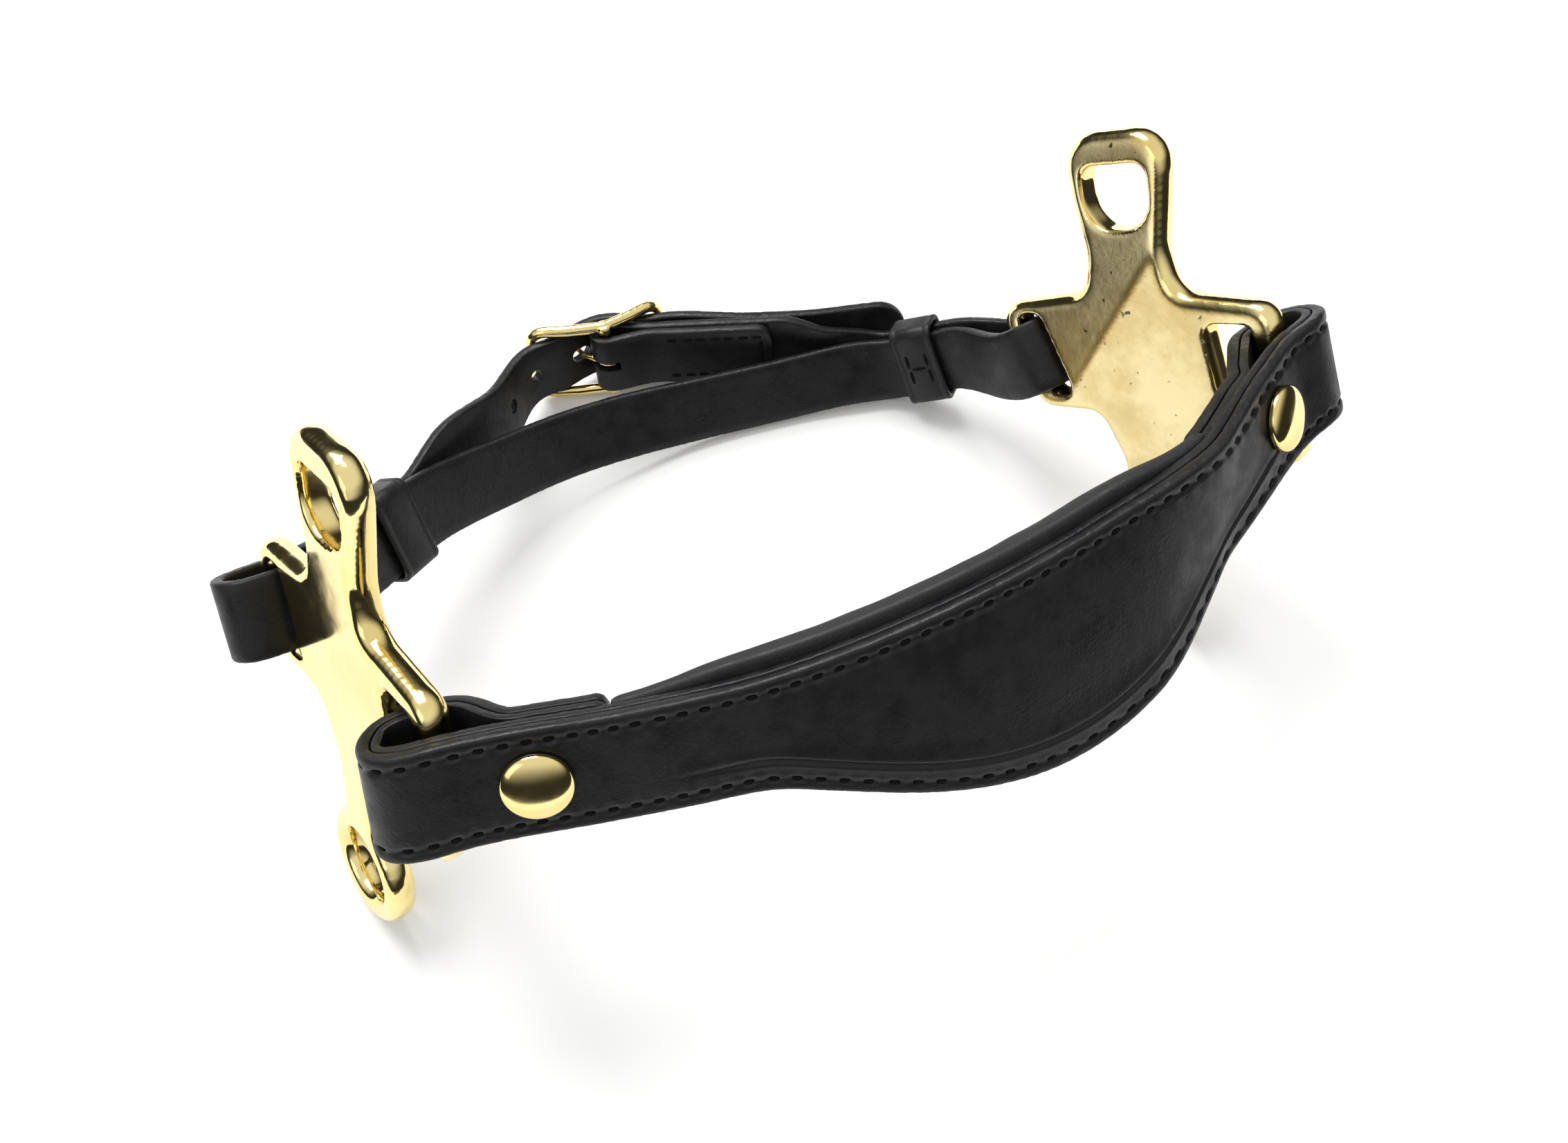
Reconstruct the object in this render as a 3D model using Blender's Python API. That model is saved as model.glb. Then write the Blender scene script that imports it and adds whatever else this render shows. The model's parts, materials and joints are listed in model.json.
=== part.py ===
# A hackamore: two brass cheek plates, joined in front by a padded leather noseband that is riveted
# round their front bars, and behind by a buckled chin strap that passes round their rear bars.
# It lies as on a table: on the feet of both plates and on the lowest part of the chin strap.
# Everything is first laid out in a frame with +X from the left plate to the right one, the
# noseband towards -Y and +Z up, and is then turned until it rests on its three lowest points.

from math import cos, hypot, pi, radians, sin, sqrt

import bmesh
import bpy
import numpy as np
from mathutils import Matrix, Vector

GAP = 0.0003  # between pieces that touch

# Cheek plates, one casting: forward is towards the noseband, up towards the top eye
PLATE_THICKNESS = 0.0075
PLATE_EDGE_RADIUS = 0.0026
EYE_TOP = 0.0575
EYE_WIDTH = 0.0312
EYE_CORNER = 0.0090
EYE_HOLE_WIDTH = 0.0190
EYE_HOLE_TOP = 0.0495
EYE_HOLE_BOTTOM = 0.0335
EYE_HOLE_CORNER = 0.0035
EYE_HOLE_EDGE = 0.0006
NECK_WIDTH = 0.0228
NECK_HEIGHT = 0.0270
NECK_ROUND = 0.0120
ARMPIT_REACH = 0.0135
ARMPIT_DROP = 0.0100  # below the neck
ARMPIT_ROUND = 0.0060
FOOT_CENTRE = 0.0615
FOOT_RADIUS = 0.0160
FOOT_HOLE_RADIUS = 0.0098
FOOT_HOLE_EDGE = 0.0022
WAIST_WIDTH = 0.0145
WAIST_HEIGHT = 0.0300
WAIST_ROUND = 0.0080
ANKLE_ROUND = 0.0120
BAR_WIDTH = 0.0065
FRONT_BAR_REACH = 0.0395  # from the middle of the plate to the middle of the bar
FRONT_BAR_RISE = -0.0055
FRONT_BAR_SLANT = radians(10)
FRONT_SLOT_WIDTH = 0.0121
FRONT_SLOT_LENGTH = 0.0312
REAR_BAR_REACH = 0.0360
REAR_BAR_RISE = -0.0005
REAR_BAR_SLANT = radians(21)
REAR_SLOT_WIDTH = 0.0068
REAR_SLOT_LENGTH = 0.0239
REAR_LOOP_DROP = 0.0020  # the strap sits this far below the middle of the bar
SLOT_CORNER = 0.0022
SLOT_EDGE = 0.0012
FRONT_RIM = 0.0047  # metal above and below a slot
REAR_RIM = 0.0040
ARM_CORNER = 0.0062

# How the plates lie: the line between the front bars, then each plate's heading, pitch and roll
BAR_SPAN = 0.2145
SPAN_HEADING = radians(5.9)
SPAN_RISE = radians(0.8)
LEFT_PLATE_TURN = (radians(23.3), radians(18.6), radians(25.1))
RIGHT_PLATE_TURN = (radians(31.3), radians(35.5), radians(19.9))

# Noseband: two leathers folded round the front bars, and a padded lining
NOSE_WIDTH = 0.0254
NOSE_SWELL_UP = 0.0034
NOSE_SWELL_DOWN = 0.0204
NOSE_SWELL_SHARE = 0.62  # how far it swells, of the way from the middle to a bar
NOSE_SWELL_MIDDLE_SHARE = 0.18
NOSE_SWELL_POWER = 0.65
FRONT_LEATHER = 0.0028
BACKING_LEATHER = 0.0021
LEATHER_CHAMFER = 0.0006
NOSE_BASE = 0.0030
NOSE_BULGE = 0.0298
NOSE_BULGE_SHARE = 0.087
NOSE_LEAN = radians(20)
NOSE_TIP = radians(19)
NOSE_LOOP_CLEARANCE = 0.0012
NOSE_LOOP_RISE = 0.0016  # the band sits this far above the middle of a bar
LEFT_NOSE_LOOP_REACH = 0.0075
RIGHT_NOSE_LOOP_REACH = 0.0045
NOSE_LOOP_BACK = 0.0018  # the loops are centred this far inside the bars
NOSE_FOLD_CLEARANCE = 0.0005
NOSE_LOOP_TILT = radians(15)
LEFT_NOSE_LOOP_WRAP = radians(28)  # how far the inner run comes back round a bar
RIGHT_NOSE_LOOP_WRAP = radians(40)
FOLD_LENGTH = 0.0350  # from a bar to the folded end of the leathers
LEFT_RIVET_INSET = 0.0187
RIGHT_RIVET_INSET = 0.0142
NOSE_PARTING = 0.0026  # past a rivet the two runs part
LINING_THICKNESS = 0.0011
LINING_DEPTH = 0.0060
LINING_END_DEPTH = 0.0042
LINING_STAND_UP = 0.0030
LINING_STAND_DOWN = 0.0016
LINING_CLEARANCE = 0.0012
LINING_ROUND = 0.0018
STITCH_INSET = 0.0030
THREAD_WIDTH = 0.0010
THREAD_THICKNESS = 0.0006

# Rivets: a domed cap outside, and inside a post with a flat cap
RIVET_CLEARANCE = 0.0008
CAP_RADIUS = 0.0076
CAP_RISE = 0.0026
CAP_RIM = 0.0007
CAP_STEM_RADIUS = 0.0011
BACK_CAP_RADIUS = 0.0040
BACK_CAP_THICKNESS = 0.0010
POST_RADIUS = 0.0020
POST_WALL = 0.0006

# Chin strap, one length of leather: sewn round the buckle's centre bar, round the right bar, back
# along the inside, round the left bar and out again to the buckle. A course is given in shares of
# the line between the rear bars: along it, outwards and down, and a lean in shares of a right angle
CHIN_WIDTH = 0.0198
CHIN_THICKNESS = 0.0030
CHIN_CHAMFER = 0.0006
LEFT_LOOP_CLEARANCE = 0.0006
RIGHT_LOOP_CLEARANCE = 0.0014
LEFT_LOOP_REACH = 0.0092
RIGHT_LOOP_REACH = 0.0004
INNER_SHARES = (
    (0.930, 0.0845, 0.0925, 0.31),
    (0.909, 0.098, 0.108, 0.30),
    (0.888, 0.112, 0.123, 0.30),
    (0.867, 0.126, 0.138, 0.32),
    (0.810, 0.147, 0.149, 0.36),
    (0.739, 0.160, 0.157, 0.34),
    (0.667, 0.170, 0.163, 0.33),
    (0.565, 0.182, 0.167, 0.34),
    (0.463, 0.187, 0.163, 0.38),
    (0.361, 0.177, 0.150, 0.37),
    (0.261, 0.146, 0.122, 0.38),
    (0.185, 0.111, 0.089, 0.42),
)
MIDDLE_SHARES = ((0.768, 0.195, 0.141, 0.22), (0.812, 0.171, 0.145, 0.33))
OUTER_LEFT_SHARES = ((0.230, 0.185, 0.102, 0.30), (0.308, 0.246, 0.136, 0.20))
OUTER_RIGHT_SHARES = (
    (0.669, 0.264, 0.145, 0.13),
    (0.729, 0.242, 0.145, 0.16),
    (0.787, 0.222, 0.142, 0.18),
    (0.837, 0.208, 0.138, 0.19),
    (0.877, 0.196, 0.134, 0.20),
    (0.911, 0.186, 0.130, 0.20),
)
LEFT_KEEPER_SHARE = 0.092
RIGHT_KEEPER_SHARE = 0.899
KEEPER_WIDTH = 0.0130
KEEPER_THICKNESS = 0.0016
KEEPER_CLEARANCE = 0.0008
KEEPER_ROW_SHARES = (0.9, 0.3, -0.3, -0.9)  # of its width, where the layers are held together
LAYER_SHIFT = 0.0010  # how far the middle layer stands above the inner one in the right keeper
CHIN_EASE = 0.0005  # how much the layers part beside a keeper
TIP_LENGTH = 0.0090
TIP_END_SHARE = 0.3  # of the strap's width
CHAPE_LENGTH = 0.0470
CHAPE_SLOPE = radians(19.4)
CHAPE_SHARES = (1, 0.8, 0.6, 0.4, 0.25)  # of its length
CHAPE_LEAVE_SHARE = 1.08
FOLD_STITCH_SHARE = 0.72
STAPLE_LENGTH = 0.0110
STAPLE_GAP = 0.0050
STAPLE_WIDTH = 0.0009
STAPLE_THICKNESS = 0.0005

# Buckle: two windows beside a centre bar, and a tongue that rests on the left end bar
BUCKLE_SHARES = (0.484, 0.303, 0.152, 0.13)
BUCKLE_TILT = radians(3)
BUCKLE_WIRE = 0.0015
BUCKLE_BOSS = 0.0022
BUCKLE_WIDTH = 0.0270
BUCKLE_LEFT = 0.0215
BUCKLE_RIGHT = 0.0180
BUCKLE_BEND = radians(20)
BUCKLE_CORNER = 0.0045
BUCKLE_CLEARANCE = 0.0008
TONGUE_WIRE = 0.0010
TONGUE_HOLE_REACH = 0.0076
TONGUE_SAG_SHARE = 0.55
TONGUE_SLOT_WIDTH = 0.0030
HOLE_PITCH = 0.0160
HOLE_RADIUS = 0.0022

# Resolution of curved shapes
STEP = 0.0015
MOST_STEP = 0.0090
NOSE_RUN_STEPS = 24
NOSE_RUN_SKIP = 2  # none of them so close to a rivet
MOST_TURN = radians(13)
MOST_TWIST = radians(4.5)
CORNER_STEPS = 5
ROUND_SIDES = 24
WIRE_SIDES = 10
EDGE_STEPS = 2

X, Y, Z = Vector((1, 0, 0)), Vector((0, 1, 0)), Vector((0, 0, 1))


def material(name, colour, roughness, metallic=0):
    made = bpy.data.materials.new(name)
    made.use_nodes = True
    shader = made.node_tree.nodes["Principled BSDF"]
    shader.inputs["Base Color"].default_value = (*colour, 1)
    shader.inputs["Roughness"].default_value = roughness
    shader.inputs["Metallic"].default_value = metallic
    return made


def brass(name):
    return material(name, (0.82, 0.60, 0.24), 0.18, 1)


def leather(name):
    return material(name, (0.012, 0.012, 0.014), 0.55)


def thread(name):
    return material(name, (0.008, 0.008, 0.009), 0.7)


def add_object(name, bm, look, parent, place=None):
    """The mesh, given in the parent's axes, as an object with its origin at place."""
    place = place or Vector()
    bmesh.ops.translate(bm, verts=bm.verts, vec=-place)
    bmesh.ops.recalc_face_normals(bm, faces=bm.faces)
    mesh = bpy.data.meshes.new(name)
    bm.to_mesh(mesh)
    bm.free()
    mesh.shade_smooth()
    mesh.set_sharp_from_angle(angle=radians(40))
    mesh.materials.append(look(name))
    made = bpy.data.objects.new(name, mesh)
    bpy.context.scene.collection.objects.link(made)
    made.parent = parent
    made.location = place
    return made


def add_empty(name, parent, place=None, turn=None):
    made = bpy.data.objects.new(name, None)
    made.empty_display_size = BAR_WIDTH
    bpy.context.scene.collection.objects.link(made)
    made.parent = parent
    made.location = place or Vector()
    if turn:
        made.rotation_mode = "QUATERNION"
        made.rotation_quaternion = turn.to_quaternion()
    return made


# Outlines and swept shapes


def rounded(corners, closed=True):
    """The points of an outline whose corners, each (point, radius), are turned into arcs."""
    points = []
    count = len(corners)
    for index, (corner, radius) in enumerate(corners):
        corner = Vector(corner)
        if radius == 0 or (not closed and index in (0, count - 1)):
            points.append(corner)
            continue
        before = Vector(corners[index - 1][0]) - corner
        after = Vector(corners[(index + 1) % count][0]) - corner
        half = before.angle(after) / 2
        reach = min(radius / np.tan(half), before.length / 2, after.length / 2)
        radius = reach * np.tan(half)
        centre = corner + (before.normalized() + after.normalized()).normalized() * radius / sin(half)
        start = corner + before.normalized() * reach - centre
        end = corner + after.normalized() * reach - centre
        turn = start.angle(end)
        steps = max(2, round(CORNER_STEPS * turn / (pi / 2)))
        for step in range(steps + 1):
            share = step / steps
            arc = (start * sin((1 - share) * turn) + end * sin(share * turn)) / sin(turn)
            points.append(centre + arc)
    return points


def arc(centre, radius, start, end, steps):
    angles = [start + (end - start) * step / steps for step in range(steps + 1)]
    return [Vector((centre[0] + radius * cos(a), centre[1] + radius * sin(a))) for a in angles]


def turned_left(outline):
    """The outline as an array that runs anticlockwise."""
    points = np.array([tuple(point) for point in outline])
    ahead = np.roll(points, -1, axis=0)
    area = (points[:, 0] * ahead[:, 1] - points[:, 1] * ahead[:, 0]).sum()
    return points if area > 0 else points[::-1]


def inset(points, distance):
    """The outline moved to its left, corner by corner."""
    ahead = np.roll(points, -1, axis=0) - points
    ahead /= np.linalg.norm(ahead, axis=1, keepdims=True)
    normal = np.stack([-ahead[:, 1], ahead[:, 0]], 1)
    both = normal + np.roll(normal, 1, axis=0)
    both /= (both * both).sum(axis=1, keepdims=True) / 2
    return points + both * distance


def slab(outer, edge, holes, thickness, steps):
    """A plate in the YZ plane, from an outline and holes, each with the radius of its rounded edge."""
    loops = [(turned_left(outer), edge)] + [(turned_left(hole)[::-1], edge) for hole, edge in holes]
    bm = bmesh.new()
    ends = ([], [])
    for loop, edge in loops:
        levels = []
        for step in range(steps + 1):
            angle = pi / 2 * step / steps
            levels.append((edge * (1 - sin(angle)), thickness / 2 - edge * (1 - cos(angle))))
        levels += [(back, -height) for back, height in reversed(levels)]
        rings = []
        for back, height in levels:
            rings.append([bm.verts.new((height, y, z)) for y, z in inset(loop, back)])
        for low, high in zip(rings, rings[1:]):
            for index, vert in enumerate(low):
                bm.faces.new((low[index - 1], vert, high[index], high[index - 1]))
        for ring, found in ((rings[0], ends[0]), (rings[-1], ends[1])):
            found += [bm.edges.get((ring[index - 1], vert)) for index, vert in enumerate(ring)]
    for edges in ends:
        bmesh.ops.triangle_fill(bm, edges=edges, use_beauty=True)
    return bm


def sweep(rings, closed=False):
    """One closed body through rings of points."""
    bm = bmesh.new()
    made = [[bm.verts.new(point) for point in ring] for ring in rings]
    pairs = list(zip(made, made[1:])) + ([(made[-1], made[0])] if closed else [])
    for low, high in pairs:
        for index, vert in enumerate(low):
            bm.faces.new((low[index - 1], vert, high[index], high[index - 1]))
    bmesh.ops.triangulate(bm, faces=bm.faces, quad_method="SHORT_EDGE")
    if not closed:
        bm.faces.new(made[0])
        bm.faces.new(made[-1])
    return bm


def tube(points, radius, sides, side, closed=False):
    """A round wire along points; side is a direction that the wire never runs along."""
    count = len(points)
    rings = []
    for index, point in enumerate(points):
        if closed:
            ahead = points[(index + 1) % count] - points[index - 1]
        else:
            ahead = points[min(index + 1, count - 1)] - points[max(index - 1, 0)]
        across = ahead.cross(side).normalized()
        over = across.cross(ahead).normalized()
        angles = [2 * pi * turn / sides for turn in range(sides)]
        rings.append([point + (across * cos(a) + over * sin(a)) * radius for a in angles])
    return sweep(rings, closed)


def spline(rows, step):
    """A natural cubic spline through rows of numbers, sampled evenly by the first three of each."""
    rows = np.array(rows, float)
    lengths = np.linalg.norm(np.diff(rows[:, :3], axis=0), axis=1)
    knots = np.concatenate([[0], np.cumsum(lengths)])
    count = len(rows)
    system = np.zeros((count, count))
    right = np.zeros_like(rows)
    system[0, 0] = system[-1, -1] = 1
    for index in range(1, count - 1):
        before, after = lengths[index - 1], lengths[index]
        system[index, index - 1 : index + 2] = before, 2 * (before + after), after
        slopes = (rows[index + 1] - rows[index]) / after - (rows[index] - rows[index - 1]) / before
        right[index] = 6 * slopes
    bend = np.linalg.solve(system, right)
    places = np.linspace(0, knots[-1], round(knots[-1] / step) + 1)
    where = np.clip(np.searchsorted(knots, places, "right") - 1, 0, count - 2)
    length = lengths[where][:, None]
    past = (places - knots[where])[:, None]
    left = length - past
    low, high = bend[where], bend[where + 1]
    found = (low * left**3 + high * past**3) / (6 * length)
    found += (rows[where] / length - low * length / 6) * left
    found += (rows[where + 1] / length - high * length / 6) * past
    return found


class Band:
    """A strap's course: its middle line, the direction across it and its outward side."""

    def __init__(self, samples):
        self.middle = samples[:, :3]
        ahead = np.gradient(self.middle, axis=0)
        self.ahead = ahead / np.linalg.norm(ahead, axis=1, keepdims=True)
        across = samples[:, 3:6]
        across = across - self.ahead * (across * self.ahead).sum(axis=1, keepdims=True)
        self.across = across / np.linalg.norm(across, axis=1, keepdims=True)
        self.outward = np.cross(self.ahead, self.across)
        self.extra = samples[:, 6:]
        steps = np.linalg.norm(np.diff(self.middle, axis=0), axis=1)
        self.run = np.concatenate([[0], np.cumsum(steps)])

    def nearest(self, place, start=0, end=None):
        """The number of the sample between start and end that is closest to place."""
        distances = np.linalg.norm(self.middle[start:end] - np.array(place), axis=1)
        return start + int(np.argmin(distances))

    def after(self, index, distance):
        """The sample that far along the course from another."""
        return int(np.argmin(abs(self.run - self.run[index] - distance)))

    def kept(self, start=0, end=None):
        """Sample numbers from start to end, close together only where the course bends."""
        end = len(self.middle) - 1 if end is None else end
        found = [start]
        for index in range(start + 1, end):
            last = found[-1]
            turn = np.arccos(np.clip(self.ahead[index + 1] @ self.ahead[last], -1, 1))
            twist = abs(np.arcsin(np.clip(self.across[index + 1] @ self.outward[last], -1, 1)))
            length = self.run[index + 1] - self.run[last]
            if turn > MOST_TURN or twist > MOST_TWIST or length > MOST_STEP:
                found.append(index)
        return found + [end]

    def frame(self, index):
        """Columns ahead, across and outward, with the place on the middle line."""
        made = Matrix.Identity(4)
        for column, axis in enumerate((self.ahead, self.across, self.outward, self.middle)):
            for row in range(3):
                made[row][column] = axis[index][row]
        return made

    def rings(self, kept, section):
        """Rings of points; section(index) lists (outward, across) for one sample."""
        found = []
        for index in kept:
            middle = Vector(self.middle[index])
            out, across = Vector(self.outward[index]), Vector(self.across[index])
            found.append([middle + out * o + across * a for o, a in section(index)])
        return found


def strap_section(low, high, down, up, low_chamfer=0, high_chamfer=0):
    """A leather's cross-section from low to high outwards, with its corners taken off."""
    section = []
    for edge, chamfer, inward in ((low, low_chamfer, 1), (high, high_chamfer, -1)):
        corner = [(edge + inward * chamfer, -down)]
        if chamfer:
            corner.append((edge, chamfer - down))
        corner.append((edge, (up - down) / 2))
        if chamfer:
            corner.append((edge, up - chamfer))
        corner.append((edge + inward * chamfer, up))
        section += corner if inward == -1 else corner[::-1]
    return section


# Cheek plates


def bar_point(reach, rise, slant, across, along):
    """A point of the plate, (forward, up), from the middle of a slanted bar."""
    forward = reach + across * cos(slant) - along * sin(slant)
    return forward, rise + across * sin(slant) + along * cos(slant)


def front_point(across, along):
    return bar_point(FRONT_BAR_REACH, FRONT_BAR_RISE, FRONT_BAR_SLANT, across, along)


def rear_point(across, along):
    return bar_point(-REAR_BAR_REACH, REAR_BAR_RISE, REAR_BAR_SLANT, across, along)


def plate_outline():
    front_end = FRONT_SLOT_LENGTH / 2 + FRONT_RIM
    rear_end = REAR_SLOT_LENGTH / 2 + REAR_RIM
    bar = BAR_WIDTH / 2
    front_root = -bar - FRONT_SLOT_WIDTH
    ankle = WAIST_WIDTH / 2 + ANKLE_ROUND
    rise = sqrt((FOOT_RADIUS + ANKLE_ROUND) ** 2 - ankle**2)
    ankle_height = rise - FOOT_CENTRE
    corners = [
        ((-WAIST_WIDTH / 2, ankle_height), 0),
        ((-WAIST_WIDTH / 2, -WAIST_HEIGHT), WAIST_ROUND),
        ((-ARMPIT_REACH, rear_point(-bar, -rear_end)[1]), ARMPIT_ROUND),
        (rear_point(-bar, -rear_end), ARM_CORNER),
        (rear_point(-bar, rear_end), ARM_CORNER),
        ((-ARMPIT_REACH, NECK_HEIGHT - ARMPIT_DROP), ARMPIT_ROUND),
        ((-NECK_WIDTH / 2, NECK_HEIGHT), NECK_ROUND),
        ((-EYE_WIDTH / 2, EYE_TOP), EYE_CORNER),
        ((EYE_WIDTH / 2, EYE_TOP), EYE_CORNER),
        ((NECK_WIDTH / 2, NECK_HEIGHT), NECK_ROUND),
        ((ARMPIT_REACH, NECK_HEIGHT - ARMPIT_DROP), ARMPIT_ROUND),
        (front_point(bar, front_end), ARM_CORNER),
        (front_point(bar, -front_end), ARM_CORNER),
        (front_point(front_root, -front_end), NECK_ROUND),
        ((WAIST_WIDTH / 2, -WAIST_HEIGHT), WAIST_ROUND),
        ((WAIST_WIDTH / 2, ankle_height), 0),
    ]
    points = rounded(corners, closed=False)
    ankle_turn = np.arctan2(rise, ankle)
    heel = pi - ankle_turn
    points += arc((ankle, ankle_height), ANKLE_ROUND, pi, pi + ankle_turn, CORNER_STEPS)[1:-1]
    points += arc((0, -FOOT_CENTRE), FOOT_RADIUS, ankle_turn, -pi - ankle_turn, ROUND_SIDES)
    points += arc((-ankle, ankle_height), ANKLE_ROUND, -ankle_turn, 0, CORNER_STEPS)[1:-1]
    return points


def plate_holes():
    bar = BAR_WIDTH / 2
    bottom = EYE_HOLE_WIDTH / 2
    eye = [
        ((-bottom, EYE_HOLE_TOP), EYE_HOLE_CORNER),
        ((bottom, EYE_HOLE_TOP), EYE_HOLE_CORNER),
        ((bottom, EYE_HOLE_BOTTOM), bottom - GAP),
        ((-bottom, EYE_HOLE_BOTTOM), bottom - GAP),
    ]
    slots = []
    for point, slant, near, far, length in (
        (front_point, FRONT_BAR_SLANT, -bar, -bar - FRONT_SLOT_WIDTH, FRONT_SLOT_LENGTH / 2),
        (rear_point, REAR_BAR_SLANT, bar, bar + REAR_SLOT_WIDTH, REAR_SLOT_LENGTH / 2),
    ):
        ends = ((near, length), (far, length), (far, -length), (near, -length))
        level = [(across, along - across * np.tan(slant)) for across, along in ends]
        slots.append([(point(*end), SLOT_CORNER) for end in level])
    foot = arc((0, -FOOT_CENTRE), FOOT_HOLE_RADIUS, 0, 2 * pi, ROUND_SIDES)[:-1]
    found = [(rounded(eye), EYE_HOLE_EDGE), (foot, FOOT_HOLE_EDGE)]
    return found + [(rounded(slot), SLOT_EDGE) for slot in slots]


def plate_axes(turn):
    """A plate's own axes: +X out of its right face, -Y forward and +Z to the top eye."""
    heading, pitch, roll = turn
    return (
        Matrix.Rotation(heading, 3, "Z") @ Matrix.Rotation(-pitch, 3, "X") @ Matrix.Rotation(roll, 3, "Y")
    )


class Plate:
    """Where one plate's bars are and which way they run."""

    def __init__(self, turn, front_bar):
        self.axes = plate_axes(turn)
        self.front_bar = front_bar
        self.middle = front_bar - self.axes @ self.local(front_point(0, 0))
        self.rear_bar = self.middle + self.axes @ self.local(rear_point(0, 0))
        self.front_along = self.axes @ Vector((0, sin(FRONT_BAR_SLANT), cos(FRONT_BAR_SLANT)))
        self.rear_along = self.axes @ Vector((0, sin(REAR_BAR_SLANT), cos(REAR_BAR_SLANT)))
        self.front_loop = front_bar + self.front_along * NOSE_LOOP_RISE
        self.rear_loop = self.rear_bar - self.rear_along * REAR_LOOP_DROP

    @staticmethod
    def local(point):
        forward, up = point
        return Vector((0, -forward, up))


def add_plate(name, plate, root):
    pivot = add_empty(name + "_pivot", root, plate.front_bar, plate.axes)
    outer = [(-forward, up) for forward, up in plate_outline()]
    holes = [([(-forward, up) for forward, up in hole], edge) for hole, edge in plate_holes()]
    bm = slab(outer, PLATE_EDGE_RADIUS, holes, PLATE_THICKNESS, EDGE_STEPS)
    made = add_object(name, bm, brass, pivot)
    made.location = -Plate.local(front_point(0, 0))
    return made


# Courses round the bars


def loop_rows(bar, along, out, radius, reach, enter, wraps=(0, 0)):
    """Points round a bar: in beside it, beyond it and back on its other side."""
    out = (out - along * out.dot(along)).normalized()
    side = out.cross(along) * enter * radius
    first, last = [side * cos(wrap) - out * radius * sin(wrap) for wrap in wraps]
    rows = [bar + first]
    for step in range(5):
        turn = pi / 4 * step
        rows.append(bar + out * (reach + radius * sin(turn)) + side * cos(turn))
    rows.append(bar + last - side * 2 * cos(wraps[1]))
    return [(*row, *along) for row in rows]


def bar_radius(clearance, leathers):
    """From the middle of a bar to the middle line of what is folded round it."""
    corner = hypot(BAR_WIDTH / 2 - PLATE_EDGE_RADIUS, PLATE_THICKNESS / 2 - PLATE_EDGE_RADIUS)
    return corner + PLATE_EDGE_RADIUS + clearance + leathers


# Noseband


def nose_axes():
    """Columns along the line between the front bars, forward and upward."""
    level = Matrix.Rotation(SPAN_HEADING, 3, "Z")
    along = level @ Vector((cos(SPAN_RISE), 0, sin(SPAN_RISE)))
    forward = level @ Vector((0, -cos(NOSE_LEAN), sin(NOSE_LEAN)))
    upward = along.cross(-forward).normalized()
    return along, forward, upward * cos(NOSE_TIP) - forward * sin(NOSE_TIP)


def blend(share):
    share = min(max(share, 0), 1)
    return share * share * (3 - 2 * share)


def nose_rows(left, right):
    """The line between the two leathers, from one folded end to the other."""
    along, forward, upward = nose_axes()
    half = BAR_SPAN / 2
    radius = bar_radius(NOSE_LOOP_CLEARANCE, BACKING_LEATHER + GAP / 2)
    apart = 2 * BACKING_LEATHER + GAP + NOSE_FOLD_CLEARANCE
    rivets = (LEFT_RIVET_INSET / half - 1, 1 - RIGHT_RIVET_INSET / half)
    fold_share = 1 - FOLD_LENGTH / half
    tilt = forward * sin(NOSE_LOOP_TILT)
    level = along * cos(NOSE_LOOP_TILT)
    loops = []
    for plate, out, reach in (
        (left, -level - tilt, LEFT_NOSE_LOOP_REACH),
        (right, level - tilt, RIGHT_NOSE_LOOP_REACH),
    ):
        loops.append((out, reach, (plate.front_along - out * out.dot(plate.front_along)).normalized()))

    def run(share):
        aside = (share - NOSE_BULGE_SHARE) / (1 - NOSE_BULGE_SHARE * share)
        bulge = NOSE_BASE + NOSE_BULGE * cos(pi / 2 * aside)
        bar = loops[share > 0][2]
        rivet_share = abs(rivets[share > 0])
        turned_share = (abs(share) - fold_share) / (rivet_share - CAP_RADIUS / half - fold_share)
        across = upward.lerp(bar, blend(turned_share))
        return (*(along * half * share + forward * bulge), *across.normalized())

    def swell(share):
        away = min(abs(share - NOSE_SWELL_MIDDLE_SHARE) / NOSE_SWELL_SHARE, 1)
        return max((1 + cos(pi * away)) / 2, 0) ** NOSE_SWELL_POWER

    rows = []
    out, reach, bar = loops[0]
    centre = left.front_loop - out * NOSE_LOOP_BACK
    for row in loop_rows(centre, bar, out, radius, reach, 1, (LEFT_NOSE_LOOP_WRAP, 0)):
        rows.append((*row[:3], *left.front_along, 0))
    for step in range(NOSE_RUN_SKIP, NOSE_RUN_STEPS - NOSE_RUN_SKIP + 1):
        share = rivets[0] + (rivets[1] - rivets[0]) * step / NOSE_RUN_STEPS
        rows.append((*run(share), swell(share)))
    out, reach, bar = loops[1]
    centre = right.front_loop - out * NOSE_LOOP_BACK
    for row in loop_rows(centre, bar, out, radius, reach, 1, (0, RIGHT_NOSE_LOOP_WRAP)):
        rows.append((*row[:3], *right.front_along, 0))
    outer = Band(spline(rows, STEP))

    def behind(side):
        """Rows of the folded part, behind the outer run."""
        rivet_share = abs(rivets[side > 0])
        inner = [fold_share + (rivet_share - fold_share) * step / 4 for step in range(5)]
        found = []
        for share in inner + [rivet_share + NOSE_PARTING / half]:
            index = outer.nearest(run(side * share)[:3])
            place = outer.middle[index] - outer.outward[index] * apart
            found.append((*place, *outer.across[index], 0))
        return found

    return behind(-1) + rows + behind(1)[::-1]


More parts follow.
